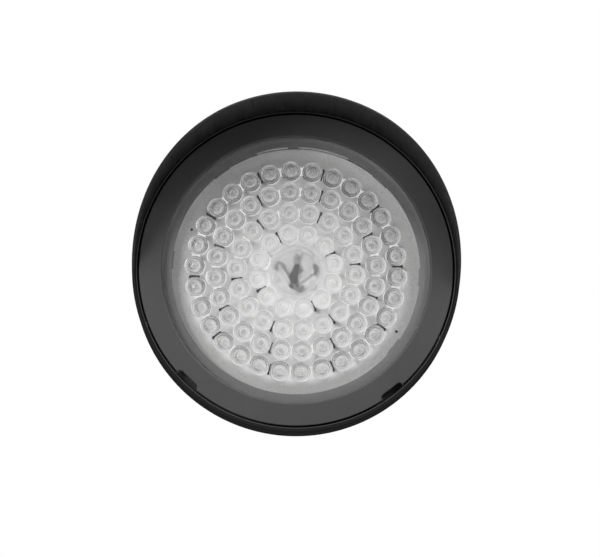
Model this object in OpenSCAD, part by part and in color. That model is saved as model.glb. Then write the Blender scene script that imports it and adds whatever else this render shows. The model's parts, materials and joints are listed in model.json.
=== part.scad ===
// Round outdoor floodlight: a finned head with 84 lensed emitters behind flat glass and a
// half visor, carried by a rear knuckle on a threaded stem.
// The lamp axis lies along Y, the light leaves towards -Y and +Z is up.
// The origin is on the stem's axis, where its free thread starts.

/* [Rim and visor] */
// Outside diameter of the rim and the visor
rim_d = 254; // [248:1:276]
// Wall of the rim, seen from the front as a dark band
rim_wall = 4; // [3:0.1:6]
// Length of the rim's sleeve over the housing
rim_len = 34; // [30:0.5:40]
// Sheet thickness of the visor
visor_wall = 2.2; // [1.5:0.1:3]
// How far the visor reaches in front of the rim
visor_len = 66; // [30:1:100]
// Height above the axis where the visor's front edge starts to fall back
visor_brow = 112; // [80:1:115]
// Height where the visor's side edge runs out in the rim
visor_end = -8; // [-30:1:20]

/* [Bezel] */
// Gap between the bezel and the rim
bezel_gap = 1.4; // [0.5:0.1:3]
// Width of the bezel's flat face
bezel_w = 17.6; // [17:0.1:20]
// Thickness of the bezel's face
bezel_t = 3.2; // [2.5:0.1:5]
// How far the face lies behind the rim's front
bezel_drop = 0.8; // [0.2:0.1:3]
// Width of the pocket wall behind the face
pocket_w = 7; // [6.4:0.1:7.5]
// Length of each drain notch in the bezel's edge
notch_len = 19; // [8:0.5:30]
// Depth of each drain notch
notch_depth = 3.5; // [1:0.1:3.8]
// Angle of the notches from the bottom of the lamp
notch_angle = 41; // [20:1:80]
// Number of screws that hold the bezel from behind
bezel_screw_n = 6; // [4:1:9]

/* [Lens] */
// Thickness of the flat glass
glass_t = 4; // [3:0.5:6]
// Gasket lip in front of the glass
lip_t = 1; // [0.6:0.1:2]
// Gasket behind the glass
seal_t = 2; // [1:0.1:4]
// Width of gasket that shows through the glass
gasket_show = 7.6; // [4:0.1:10]

/* [Light engine] */
// Depth of the housing floor behind the ledge that carries the gasket
led_drop = 10.6; // [10.2:0.1:14]
// Thickness of the circuit board
board_t = 1.6; // [1:0.1:2.4]
// Thickness of the heat transfer sheet under the board
pad_t = 0.5; // [0.2:0.1:1]
// Bare margin between the outer optics and the gasket
board_margin = 10.2; // [6:0.1:14]
// Diameter of the frosted cap in the middle
middle_d = 42.8; // [40:0.2:48]
// Gap between neighbouring rings of optics
ring_gap = 1.1; // [0.8:0.1:2]
// Height of one optic above the board
optic_h = 7; // [6:0.1:7.2]
// Length and width of an emitter package
chip_w = 3.5; // [2:0.1:4.4]

/* [Housing] */
// Thickness of the floor under the board
floor_t = 6; // [5:0.5:10]
// Wall of the cup round the board
cup_wall = 4; // [3:0.5:6]
// Thickness of the ledge that carries the glass
ledge_t = 6; // [4:0.5:8]
// Number of cooling fins
fin_n = 36; // [24:2:40]
// Thickness of one fin
fin_t = 2.6; // [1.6:0.1:3.4]
// Outside diameter of the driver drum
drum_d = 132; // [126:1:150]
// Width of the flange round the drum's rear end
flange_w = 10; // [9:0.5:16]
// Wall of the driver drum
drum_wall = 5; // [4:0.5:5.5]
// Depth of the drum's rear face behind the rim's front
drum_back = 84; // [80:1:110]
// Thickness of the rear cover
cover_t = 6; // [5:0.5:10]
// Number of rear cover screws
cover_screw_n = 6; // [4:1:8]

/* [Driver] */
// Length of the driver can
driver_l = 86; // [70:1:88]
// Width of the driver can
driver_w = 60; // [40:1:62]
// Height of the driver can
driver_h = 30; // [20:1:31]

/* [Knuckle] */
// Radius of the knuckle's two discs
disc_r = 24; // [23:0.5:27]
// Thickness of each disc
disc_w = 20; // [19:0.5:26]
// Distance from the pivot to the arm's flange
arm_len = 34; // [32:0.5:50]
// Radius of the arm's flange
flange_r = 38; // [36:0.5:44]
// Distance from the pivot to the end of the lower hub
hub_len = 38; // [36:0.5:60]
// Radius of the lower hub
hub_r = 17; // [16:0.5:18.5]
// Diameter of the pivot bolt
bolt_d = 8; // [6:0.5:8]
// Number of locking grooves in each face
groove_n = 36; // [24:2:40]

/* [Stem] */
// Outside diameter of the half inch straight thread
stem_d = 21; // [20:0.1:22]
// Bore of the stem for the supply wires
stem_bore = 15; // [10:0.5:16]
// Length of free thread
stem_free = 19; // [12:0.5:40]
// Width across the flats of the locknut
locknut_af = 32; // [28:1:36]
// Thickness of the locknut
locknut_t = 7.6; // [5:0.1:10]

/* [Hidden] */
$fn = 96;

// Clearances
fit = 0.25;         // parts that slide together and stay there
screw_fit = 0.05;   // a screw in its threaded hole, a pin in its bore
pass_fit = 0.3;     // a screw passing through a plate
run_gap = 0.15;     // half the gap between the knuckle's faces
soft_gap = 0.3;     // a seal from the part that turns past it
cut = 1;            // how far a cutting tool runs past the face it opens

// Radii of the head, from the rim inwards
rim_r = rim_d / 2;
rim_in = rim_r - rim_wall;
bezel_r = rim_in - bezel_gap;
opening_r = bezel_r - bezel_w;
pocket_out = bezel_r - notch_depth - 0.6;
pocket_r = pocket_out - pocket_w;
gasket_wall = 1.2;
gasket_r = pocket_r - screw_fit;
glass_r = gasket_r - gasket_wall;
gasket_in = opening_r - gasket_show;
cavity_r = gasket_in + 1.5;
board_r = cavity_r - 0.6;
housing_r = rim_in - fit;
bezel_screw_r = pocket_out - pocket_w / 2;

// Depths behind the rim's front face
lip_front = bezel_drop + bezel_t;
glass_front = lip_front + lip_t;
seal_front = glass_front + glass_t;
ledge_front = seal_front + seal_t;
floor_front = ledge_front + led_drop;
floor_back = floor_front + floor_t;
board_front = floor_front - pad_t - board_t;
gasket_t = 1.5;
cover_front = drum_back + gasket_t;
cover_back = cover_front + cover_t;
hub_t = 4;
arm_seal_t = 1;
flange_t = 6;
flange_front = cover_back + hub_t + arm_seal_t;
pivot_back = flange_front + flange_t + arm_len;

// Places along the row's Y axis
ring_groove = 2.6;
pivot_y = -(ring_groove + locknut_t + hub_len);
hub_end = pivot_y + hub_len;

// Optics: modules of three in rings that fill the room between the cap and the board's
// margin, counted by what fits round each ring
ring_count = 4;
optic_gap = 0.2;
cap_gap = 0.7;
middle_r = middle_d / 2;
ring_step = (gasket_in - board_margin - middle_r - cap_gap + ring_gap) / ring_count;
optic_d = ring_step - ring_gap;
optic_r = optic_d / 2;
first_of_module = [1, 1, 1, 2];
function ring_radius(k) = gasket_in - board_margin - optic_r - k * ring_step;
function ring_modules(k) =
    max(1, floor(2 * PI * ring_radius(k) / (3 * (optic_d + optic_gap))));
function optic_step(k) = 360 / (3 * ring_modules(k));
function optic_angle(k, i) = (i + 0.5) * optic_step(k);

// Middle of the board
lead_hole = [-1, -9];
lead_hole_r = 4.2;
middle_wall = 1.2;
lead_end_inset = 7.2;
board_screw_inset = 4.6;
tooling_r = 1.1;
tooling_inset = [9.3, 6.3];
lead_ends = [for (a = [159, 82, 6]) (middle_r - lead_end_inset) * [cos(a), sin(a)]];
board_screw_at = [for (a = [200, 322, 54]) (middle_r - board_screw_inset) * [cos(a), sin(a)]];
tooling_at = [[board_r - tooling_inset[0], 160.7], [board_r - tooling_inset[1], -27.5]];

// Fins
fin_step = 360 / fin_n;
drum_r = drum_d / 2;
drum_in = drum_r - drum_wall;
cover_r = drum_r + flange_w;
cover_screw_r = (drum_r + cover_r) / 2;
flange_seat = 7;
skirt_wall = 3.5;
skirt_back = rim_len - 4;
fin_end = drum_back - flange_seat + 3;
fin_arc = 8;
cover_screw_start = 30;

// Driver compartment
boss_h = 5;
ear_t = 2;
ear_w = 26;
ear_l = 10;
driver_front = floor_back + boss_h;
driver_screw_x = driver_l / 2 + ear_l / 2;
surge_size = [38, 18, 17];
surge_at = [0, -40];
surge_ear = 8;
ground_at = [-32, 36];
vent_at = [0, 50];

// Knuckle
wire_x = 8.5;
wire_r = 5;
wire_boss_r = 7;
wire_ring_r = 12.5;
wire_ring_d = 9;
seal_in = 13.2;
seal_out = 16.2;
seal_depth = 1.5;
sweep_r = disc_r + 2;
arm_screw_r = flange_r - 7;
arm_neck_r = 15;
washer_r = 8;
washer_t = 1.6;
well_r = 9;
well_d = 6;
nut_af = 13;
nut_well = 5;

// Stem: how deep it sits in the hub, short of what the upper disc sweeps
stem_in = hub_len - sweep_r - 3;
stem_screw_in = 5;

// Screws, each [thread, length, head diameter, head height, key]
bezel_screw = [4, ledge_t + 5.5, 7, 4, 3.3];
board_screw = [3, 6, 5.4, 1.6, 2.3];
driver_screw = [4, 6, 7.2, 2.6, 3];
surge_screw = [3, 6, 5.6, 2.2, 2.4];
earth_screw = [5, 4.5, 9, 3, 4];
cover_screw = [5, cover_t + gasket_t + 9, 8.5, 5, 4.6];
arm_screw = [6, flange_t + arm_seal_t + hub_t + cover_t - 2, 9.6, 6, 5.7];
set_screw_r = 2.5;
set_screw_key = 2.9;
bolt_head = [13, 8, 6.8];

// A driving outline's helpers
function arc_points(centre, r, from, to, n = 4) =
    [for (i = [0:n]) centre + r * [cos(from + (to - from) * i / n), sin(from + (to - from) * i / n)]];
function bezier(p, t) = pow(1 - t, 3) * p[0] + 3 * pow(1 - t, 2) * t * p[1]
    + 3 * (1 - t) * t * t * p[2] + pow(t, 3) * p[3];
function fin_gap(i, n) = fin_step * (floor(i * fin_n / n) + 0.5);

// Frames: in head() and at_pivot() +Z is forwards along the lamp axis and +Y is up
module at_pivot() { translate([0, pivot_y, 0]) rotate([90, 0, 0]) children(); }
module head() { at_pivot() translate([0, 0, pivot_back]) children(); }
// In along_stem() +Z runs back along the stem from the row's origin
module along_stem(y = 0) { translate([0, y, 0]) rotate([-90, 0, 0]) children(); }

// A disc or a ring between two depths behind the rim's front
module disc(r, front, back) { translate([0, 0, -back]) cylinder(h = back - front, r = r); }
module ring(out, in, front, back) {
    difference() {
        disc(out, front, back);
        disc(in, front - cut, back + cut);
    }
}
module around(n, r, start = 0) {
    for (i = [0:n - 1]) rotate(start + i * 360 / n) translate([r, 0, 0]) children();
}
module in_fin_gaps(n, r) {
    for (i = [0:n - 1]) rotate(fin_gap(i, n)) translate([r, 0, 0]) children();
}
// A plate across the knuckle between two X values, outline in the lamp's side view
module side_plate(from, to) {
    translate([to, 0, 0]) rotate([0, -90, 0]) linear_extrude(to - from) children();
}
// A socket head screw standing on z = 0, its shank running down
module cap_screw(size) {
    length = size[1];
    head_h = size[3];
    difference() {
        union() {
            cylinder(h = head_h, d = size[2]);
            translate([0, 0, -length]) cylinder(h = length + head_h / 2, d = size[0]);
        }
        translate([0, 0, head_h * 0.45]) cylinder(h = head_h, d = size[4], $fn = 6);
    }
}
// A hexagon with its corners taken off by a cone at one end
module hex_body(af, h, corner = 1) {
    across = af / cos(30);
    intersection() {
        cylinder(h = h, d = across, $fn = 6);
        union() {
            cylinder(h = h - corner, d = across + 1);
            translate([0, 0, h - corner]) cylinder(h = corner, d1 = across + 0.1, d2 = af - 0.6);
        }
    }
}

// Rim and visor: one spun sleeve whose upper half runs forward as the visor
module visor_profile() {
    edge = [[visor_len, visor_brow], [visor_len * 0.94, visor_brow * 0.71],
        [visor_len * 0.5, visor_brow * 0.24], [0, visor_end]];
    polygon(concat([[-2, visor_end - 2], [-2, rim_r + 5], [visor_len, rim_r + 5]],
        [for (i = [0:16]) bezier(edge, i / 16)]));
}
module visor_rim() {
    soft = 1.4;
    color([0.09, 0.09, 0.095]) head() difference() {
        union() {
            rotate_extrude() polygon(concat([[rim_in, -rim_len], [rim_in, 0]],
                arc_points([rim_r - soft, -soft], soft, 90, 0),
                arc_points([rim_r - soft, -rim_len + soft], soft, 0, -90)));
            intersection() {
                translate([0, 0, -2]) difference() {
                    cylinder(h = visor_len + 2, r = rim_r);
                    translate([0, 0, -cut]) cylinder(h = visor_len + 2 + 2 * cut, r = rim_r - visor_wall);
                }
                side_plate(-rim_r - 1, rim_r + 1) visor_profile();
            }
        }
        rim_screw_places() translate([0, 0, -cut])
            cylinder(h = rim_wall + 2 * cut, r = set_screw_r + screw_fit);
    }
}
// Four grub screws clamp the rim's sleeve on the housing
module rim_screw_places() {
    for (a = [45:90:315]) rotate(a)
        translate([rim_in, 0, -(skirt_back + ledge_front + ledge_t) / 2]) rotate([0, 90, 0]) children();
}
module rim_set_screws() {
    color([0.25, 0.25, 0.26]) head() rim_screw_places() difference() {
        translate([0, 0, -fit]) cylinder(h = rim_wall + fit - 0.4, r = set_screw_r);
        translate([0, 0, rim_wall - 2.6]) cylinder(h = 3, d = set_screw_key, $fn = 6);
    }
}

// Bezel: flat face with two drain notches, and the pocket wall that takes the glass
module bezel_ring() {
    soft = 0.6;
    color([0.2, 0.2, 0.205]) head() difference() {
        rotate_extrude() polygon(concat(
            [[opening_r, -lip_front], [opening_r, -bezel_drop - 0.8], [opening_r + 0.8, -bezel_drop]],
            arc_points([bezel_r - soft, -bezel_drop - soft], soft, 90, 0, 3),
            [[bezel_r, -lip_front], [pocket_out, -lip_front], [pocket_out, -ledge_front],
                [pocket_r, -ledge_front], [pocket_r, -lip_front]]));
        for (side = [-1, 1]) rotate(-90 + side * notch_angle)
            translate([bezel_r - notch_depth, -notch_len / 2, -lip_front - cut])
                cube([notch_depth + cut, notch_len, bezel_t + 2 * cut]);
        in_fin_gaps(bezel_screw_n, bezel_screw_r)
            translate([0, 0, -ledge_front - cut]) cylinder(h = 6 + cut, r = bezel_screw[0] / 2 + screw_fit);
    }
}
module bezel_screws() {
    color("dimgray") head() in_fin_gaps(bezel_screw_n, bezel_screw_r)
        translate([0, 0, -ledge_front - ledge_t]) mirror([0, 0, 1])
            cap_screw(bezel_screw);
}

// Glass and its wrap-round gasket
module lens_glass() {
    edge = 0.4;
    color([0.75, 0.8, 0.82, 0.3]) head() rotate_extrude() polygon([[0, -seal_front],
        [glass_r - edge, -seal_front], [glass_r, -seal_front + edge],
        [glass_r, -glass_front - edge], [glass_r - edge, -glass_front], [0, -glass_front]]);
}
module lens_gasket() {
    tab_w = 14;
    tab_h = 1;
    step = 0.15;
    color([0.5, 0.5, 0.5]) head() {
        difference() {
            union() {
                rotate_extrude() polygon([[gasket_in, -ledge_front], [gasket_in, -seal_front],
                    [glass_r, -seal_front], [glass_r, -glass_front], [opening_r + 1.5, -glass_front],
                    [opening_r + 1.5, -lip_front], [gasket_r, -lip_front], [gasket_r, -ledge_front]]);
                for (a = [46, -4, -39, 174, 126]) rotate(a)
                    rotate_extrude(angle = tab_w / gasket_in * 180 / PI)
                        translate([gasket_in - tab_h, step - ledge_front])
                            square([tab_h + 1, seal_t - 2 * step]);
            }
            for (a = [[68.5, 92.1], [96.9, 111.5]]) rotate(a[0]) rotate_extrude(angle = a[1] - a[0])
                translate([gasket_in - cut, -ledge_front - cut]) square([cut + tab_h, seal_t + 2 * cut]);
        }
    }
}

// One collimating optic on z = 0: a cone with a lens well on top and a chip pocket below
module optic() {
    well = optic_r * 0.5;
    rotate_extrude($fn = 48) polygon([[chip_w * 0.8, 0], [optic_r * 0.62, 0],
        [optic_r, optic_h - 0.9], [optic_r, optic_h - 0.3], [optic_r - 0.3, optic_h], [well + 0.5, optic_h],
        [well, optic_h - 2.4], [well * 0.7, optic_h - 1.8], [well * 0.35, optic_h - 1.4],
        [0, optic_h - 1.3], [0, 2.6], [chip_w * 0.5, 2.4], [chip_w * 0.8, 1.8]]);
}
module optics_ring(k) {
    r = ring_radius(k);
    step = optic_step(k);
    color([0.88, 0.89, 0.9, 0.7]) head() for (m = [0:ring_modules(k) - 1])
        rotate(90 - optic_angle(k, first_of_module[k] + 3 * m))
            translate([0, 0, -board_front]) {
                for (i = [0:2]) rotate(-i * step) translate([r, 0, 0]) optic();
                difference() {
                    rotate(-2.42 * step) rotate_extrude(angle = 2.84 * step)
                        translate([r - optic_r * 0.8, 0]) square([optic_r * 1.6, 0.9]);
                    for (i = [0:2]) rotate(-i * step)
                        translate([r, 0, -cut]) cylinder(h = 3, r = optic_r * 0.55);
                }
            }
}
module optics_ring_1() { optics_ring(0); }
module optics_ring_2() { optics_ring(1); }
module optics_ring_3() { optics_ring(2); }
module optics_ring_4() { optics_ring(3); }

// Emitters, one under each optic
module led_chips() {
    color([0.95, 0.85, 0.4]) head() for (k = [0:ring_count - 1])
        for (i = [0:3 * ring_modules(k) - 1])
            rotate(90 - optic_angle(k, i)) translate([ring_radius(k), 0, -board_front]) {
                translate([-chip_w / 2, -chip_w / 2, 0]) cube([chip_w, chip_w, 0.7]);
                translate([0, 0, 0.7]) cylinder(h = 0.6, r1 = chip_w * 0.42, r2 = chip_w * 0.28, $fn = 24);
            }
}
// Metal core board with the lead hole, screw holes and two tooling holes
module led_board() {
    color([0.9, 0.9, 0.88]) head() difference() {
        disc(board_r, board_front, board_front + board_t);
        translate(concat(lead_hole, -floor_front)) cylinder(h = led_drop, r = lead_hole_r);
        for (p = board_screw_at) translate(concat(p, -floor_front))
            cylinder(h = led_drop, r = board_screw[0] / 2 + pass_fit);
        for (p = tooling_at) rotate(p[1]) translate([p[0], 0, -floor_front])
            cylinder(h = led_drop, r = tooling_r);
    }
}
module thermal_pad() {
    color([0.55, 0.6, 0.62]) head() difference() {
        disc(board_r - 1, floor_front - pad_t, floor_front);
        translate(concat(lead_hole, -floor_front - cut)) cylinder(h = led_drop, r = lead_hole_r + 1);
        for (p = board_screw_at) translate(concat(p, -floor_front - cut)) cylinder(h = led_drop, r = 2.5);
    }
}
// Frosted cap over the lead connections in the middle
module center_cover() {
    top = optic_h - 0.8;
    color([0.9, 0.9, 0.9, 0.8]) head() translate([0, 0, -board_front]) rotate_extrude()
        polygon([[middle_r - middle_wall, 0], [middle_r, 0], [middle_r, top - 1], [middle_r - 1, top],
            [0, top], [0, top - middle_wall], [middle_r - middle_wall, top - middle_wall]]);
}
module lead_terminals() {
    color([0.2, 0.2, 0.2]) head() for (p = lead_ends)
        translate(concat(p, -board_front)) rotate(atan2(p[1] - lead_hole[1], p[0] - lead_hole[0]))
            difference() {
                translate([-2.5, -1.8, 0]) cube([5, 3.6, 3.2]);
                translate([-3.5, 0, lead_z]) rotate([0, 90, 0]) cylinder(h = 3.5, r = 1.15, $fn = 24);
            }
}
module board_screws() {
    color("silver") head() for (p = board_screw_at)
        translate(concat(p, -board_front)) cap_screw(board_screw);
}
// Grommet that seals the lead hole in the housing floor
module lead_grommet() {
    color([0.12, 0.12, 0.12]) head() translate(concat(lead_hole, -floor_back)) difference() {
        union() {
            translate([0, 0, -1.5]) cylinder(h = 1.5, r = lead_hole_r + 2.4);
            cylinder(h = floor_t - 0.5, r = lead_hole_r + 0.4);
        }
        for (a = lead_turns) rotate(a) translate([lead_spread, 0, -3]) cylinder(h = floor_t + 4, r = 1.15);
    }
}

// Three leads fan out on the board, pass the floor and turn down behind the driver
lead_r = 1;
lead_z = 1.6;
lead_spread = 2.5;
lead_turns = [180, 90, 0];
lead_sides = 8;
lead_short = 2.2;
lead_arch = 1.4;
lead_run = 2.6;
lead_bend = 4;
lead_side = 6;
lead_drop = 9;
function unit(v) = v / norm(v);
function lead_path(i) =
    let (end = lead_ends[i], h = lead_hole + lead_spread * [cos(lead_turns[i]), sin(lead_turns[i])],
        tip = end - lead_short * unit(end - lead_hole), side = -driver_w / 2 - lead_side,
        run = floor_back + lead_run, entry = driver_front + lead_drop + lead_bend)
    [concat(tip, lead_z - board_front), concat((tip + h) / 2, lead_z + lead_arch - board_front),
        [h[0], h[1], lead_z / 2 - board_front], [h[0], h[1], -floor_front],
        [h[0], h[1], -floor_back], [h[0], h[1] - lead_z, -run], [h[0], side + lead_bend, -run],
        [h[0], side, -run - lead_bend], [h[0], side, -driver_front - lead_drop],
        [h[0], side + lead_bend * 0.75, -entry], [h[0], -driver_w / 2, -entry]];
function spline(p, t) = let (n = len(p) - 1, i = min(n - 1, floor(t)), u = t - i,
        a = p[max(0, i - 1)], b = p[i], c = p[i + 1], d = p[min(n, i + 2)])
    b + 0.5 * u * (c - a + u * (2 * a - 5 * b + 4 * c - d + u * (3 * (b - c) + d - a)));
module lead(i) {
    path = lead_path(i);
    n = 3 * (len(path) - 1);
    centre = [for (j = [0:n]) spline(path, j / 3)];
    along = [for (j = [0:n]) unit(centre[min(n, j + 1)] - centre[max(0, j - 1)])];
    across = [1, 0.13, 0.07];
    rings = [for (j = [0:n]) let (u = unit(cross(along[j], across)), v = cross(u, along[j]))
        for (s = [0:lead_sides - 1]) centre[j] + lead_r * (cos(s * 360 / lead_sides) * u
            + sin(s * 360 / lead_sides) * v)];
    last = n * lead_sides;
    polyhedron(rings, concat(
        [[for (s = [0:lead_sides - 1]) s]],
        [for (j = [0:n - 1], s = [0:lead_sides - 1]) let (a = j * lead_sides + s,
            b = j * lead_sides + (s + 1) % lead_sides)
            each [[a, a + lead_sides, b], [b, a + lead_sides, b + lead_sides]]],
        [[for (s = [lead_sides - 1:-1:0]) last + s]]));
}
module board_leads() { color([0.1, 0.1, 0.1]) head() for (i = [0:2]) lead(i); }

// Housing: ledge, cup, floor, finned back and driver drum in one casting
module fin_outline() {
    outer = housing_r - skirt_wall + 1;
    start = skirt_back - 2;
    reach = [outer - cover_r + 0.5, fin_end - start];
    polygon(concat([[drum_in + 2, -floor_back + 2], [drum_in + 2, -fin_end]],
        [for (i = [0:fin_arc]) let (a = 90 * i / fin_arc)
            [cover_r - 0.5 + reach[0] * sin(a), -start - reach[1] * cos(a)]],
        [[outer, -ledge_front - ledge_t + 1], [cavity_r + cup_wall - 1, -ledge_front - ledge_t + 1],
            [cavity_r + cup_wall - 1, -floor_back + 2]]));
}
module housing() {
    color([0.16, 0.16, 0.165]) head() difference() {
        union() {
            ring(housing_r, cavity_r, ledge_front, ledge_front + ledge_t);
            ring(housing_r, housing_r - skirt_wall, ledge_front + 1, skirt_back);
            ring(cavity_r + cup_wall, cavity_r, ledge_front + 1, floor_back);
            disc(cavity_r + 1, floor_front, floor_back);
            ring(drum_r, drum_in, floor_back - 1, drum_back);
            ring(cover_r, drum_in, drum_back - flange_seat, drum_back);
            for (i = [0:fin_n - 1]) rotate(i * fin_step)
                rotate([90, 0, 0]) translate([0, 0, -fin_t / 2]) linear_extrude(fin_t) fin_outline();
            for (side = [-1, 1]) translate([side * driver_screw_x, 0, 0])
                disc(4.6, floor_back - 1, driver_front);
        }
        in_fin_gaps(bezel_screw_n, bezel_screw_r)
            disc(bezel_screw[0] / 2 + pass_fit, ledge_front - cut, ledge_front + ledge_t + cut);
        around(cover_screw_n, cover_screw_r, cover_screw_start)
            disc(cover_screw[0] / 2 + screw_fit, drum_back - 12, drum_back + cut);
        translate(concat(lead_hole, 0))
            disc(lead_hole_r + 0.4 + screw_fit, floor_front - cut, floor_back + cut);
        for (p = board_screw_at) translate(concat(p, 0))
            disc(board_screw[0] / 2 + screw_fit, floor_front - cut, floor_front + 4.6);
        for (side = [-1, 1]) translate([side * driver_screw_x, 0, 0])
            disc(driver_screw[0] / 2 + screw_fit, floor_back - 2, driver_front + cut);
    }
}

// Driver compartment
module led_driver() {
    soft = 1.5;
    color([0.75, 0.76, 0.78]) head() difference() {
        union() {
            translate([-driver_l / 2, -driver_w / 2, -driver_front - driver_h])
                cube([driver_l, driver_w, driver_h]);
            translate([-driver_l / 2 - ear_l, -ear_w / 2, -driver_front - ear_t])
                cube([driver_l + 2 * ear_l, ear_w, ear_t]);
            translate([-driver_l / 2 + 8, -driver_w / 2 + 8, -driver_front - driver_h - soft])
                cube([driver_l - 16, driver_w - 16, soft + 1]);
        }
        for (side = [-1, 1]) translate([side * driver_screw_x, 0, 0])
            disc(driver_screw[0] / 2 + pass_fit, 0, drum_back);
    }
}
module driver_screws() {
    color("silver") head() for (side = [-1, 1])
        translate([side * driver_screw_x, 0, -driver_front - ear_t])
            mirror([0, 0, 1]) cap_screw(driver_screw);
}
module surge_protector() {
    color([0.85, 0.3, 0.1]) head() translate([surge_at[0], surge_at[1], -cover_front]) difference() {
        union() {
            translate([-surge_size[0] / 2, -surge_size[1] / 2, 0]) cube(surge_size);
            translate([-surge_size[0] / 2 - surge_ear, -5, 0]) cube([surge_size[0] + 2 * surge_ear, 10, 2]);
        }
        surge_screw_places() translate([0, 0, -cut]) cylinder(h = 4, r = surge_screw[0] / 2 + pass_fit);
    }
}
module surge_screw_places() {
    for (side = [-1, 1]) translate([side * (surge_size[0] + surge_ear) / 2, 0, 0]) children();
}
module surge_screws() {
    color("silver") head() translate([surge_at[0], surge_at[1], -cover_front + 2])
        surge_screw_places() cap_screw(surge_screw);
}
module ground_screw() {
    color([0.1, 0.5, 0.2]) head() translate(concat(ground_at, -cover_front)) cap_screw(earth_screw);
}

// Rear cover with its gasket, screws and breather
module cover_gasket() {
    color([0.1, 0.1, 0.1]) head() difference() {
        ring(cover_r - 0.5, drum_in + 0.5, drum_back, cover_front);
        around(cover_screw_n, cover_screw_r, cover_screw_start)
            disc(cover_screw[0] / 2 + pass_fit, drum_back - cut, cover_front + cut);
    }
}
module rear_cover() {
    rib_h = 2.5;
    edge = 1.5;
    color([0.16, 0.16, 0.165]) head() difference() {
        union() {
            rotate_extrude() polygon([[0, -cover_front], [cover_r, -cover_front],
                [cover_r, -cover_back + edge], [cover_r - edge, -cover_back],
                [flange_r + 1, -cover_back], [flange_r, -cover_back - 1],
                [flange_r, -cover_back - hub_t], [0, -cover_back - hub_t]]);
            intersection() {
                for (i = [0:cover_screw_n - 1]) rotate(i * 360 / cover_screw_n)
                    translate([flange_r - 1, -1.6, -cover_back - rib_h]) cube([cover_r, 3.2, rib_h + 1]);
                disc(cover_r - 6, cover_front, cover_back + rib_h);
            }
        }
        around(cover_screw_n, cover_screw_r, cover_screw_start)
            disc(cover_screw[0] / 2 + pass_fit, cover_front - cut, cover_back + cut);
        arm_screw_places() disc(arm_screw[0] / 2 + screw_fit, cover_front + 1, cover_back + hub_t + cut);
        translate([wire_x, 0, 0]) disc(wire_r + 0.5, cover_front - cut, cover_back + hub_t + cut);
        translate(concat(vent_at, 0)) disc(6 + screw_fit, cover_front - cut, cover_back + rib_h + cut);
        translate(concat(surge_at, 0)) surge_screw_places()
            disc(surge_screw[0] / 2 + screw_fit, cover_front - cut, cover_front + 4.2);
        translate(concat(ground_at, 0))
            disc(earth_screw[0] / 2 + screw_fit, cover_front - cut, cover_front + 4.8);
    }
}
module cover_screws() {
    color("dimgray") head() around(cover_screw_n, cover_screw_r, cover_screw_start)
        translate([0, 0, -cover_back]) mirror([0, 0, 1]) cap_screw(cover_screw);
}
module breather_vent() {
    color([0.08, 0.08, 0.08]) head() translate(concat(vent_at, -cover_back)) mirror([0, 0, 1]) difference() {
        union() {
            translate([0, 0, -cover_t - 2]) cylinder(h = cover_t + 3, r = 6);
            hex_body(15, 3.5, 0.6);
            translate([0, 0, 3]) cylinder(h = 3.5, r1 = 6.8, r2 = 6);
        }
        for (a = [0:60:300]) rotate(a) translate([5.4, -0.7, 4.4]) cube([3, 1.4, 1.2]);
        translate([0, 0, -cover_t - 3]) cylinder(h = cover_t + 5, r = 3.5);
    }
}

// Knuckle: two hollow half discs that turn face to face
module arm_screw_places() { around(4, arm_screw_r, 45) children(); }
module arm_gasket() {
    color([0.1, 0.1, 0.1]) head() difference() {
        disc(flange_r - 0.5, cover_back + hub_t, flange_front);
        arm_screw_places() disc(arm_screw[0] / 2 + pass_fit, cover_back, flange_front + cut);
        translate([wire_x, 0, 0]) disc(wire_r + 0.5, cover_back, flange_front + cut);
    }
}
// Radial locking grooves in the face at x = face, cut towards the side given
module locking_grooves(face, side, start) {
    depth = 1.2;
    half = 1.15;
    for (i = [0:groove_n - 1]) rotate([start + i * 360 / groove_n, 0, 0])
        translate([face, 0, seal_out + 1.2]) linear_extrude(disc_r)
            polygon([[-side * 0.2, -half * 1.17], [-side * 0.2, half * 1.17], [side * depth, 0]]);
}
module x_cylinder(r, from, to) { translate([from, 0, 0]) rotate([0, 90, 0]) cylinder(h = to - from, r = r); }
module x_ring(out, in, from, to) {
    difference() {
        x_cylinder(out, from, to);
        x_cylinder(in, from - cut, to + cut);
    }
}
module upper_knuckle() {
    color([0.16, 0.16, 0.165]) at_pivot() difference() {
        union() {
            x_cylinder(disc_r, run_gap, disc_w);
            translate([0, 0, arm_len]) cylinder(h = flange_t, r = flange_r);
            difference() {
                union() {
                    translate([0, 0, disc_r - 5]) cylinder(h = arm_len - disc_r + 6,
                        r1 = arm_neck_r, r2 = arm_neck_r + 10);
                    translate([run_gap + 1, -arm_neck_r, 0])
                        cube([disc_w - run_gap - 3, 2 * arm_neck_r, arm_len + 1]);
                }
                x_cylinder(sweep_r, -arm_len, run_gap);
            }
        }
        x_cylinder(bolt_d / 2 + screw_fit, -cut, disc_w + cut);
        x_cylinder(well_r, disc_w - well_d, disc_w + cut);
        x_ring(wire_ring_r, wire_boss_r, -cut, wire_ring_d + run_gap);
        x_ring(seal_out + soft_gap, seal_in - soft_gap, -cut, run_gap + seal_depth - 0.45);
        locking_grooves(run_gap, 1, 0);
        translate([wire_x, 0, wire_boss_r + 3.5]) cylinder(h = arm_len + flange_t, r = wire_r);
        translate([0, 0, arm_len + flange_t]) arm_screw_places()
            translate([0, 0, -flange_t - cut])
                cylinder(h = flange_t + 2 * cut, r = arm_screw[0] / 2 + pass_fit);
    }
}
module arm_screws() {
    color("dimgray") at_pivot() translate([0, 0, arm_len]) arm_screw_places()
        mirror([0, 0, 1]) cap_screw(arm_screw);
}
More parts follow.
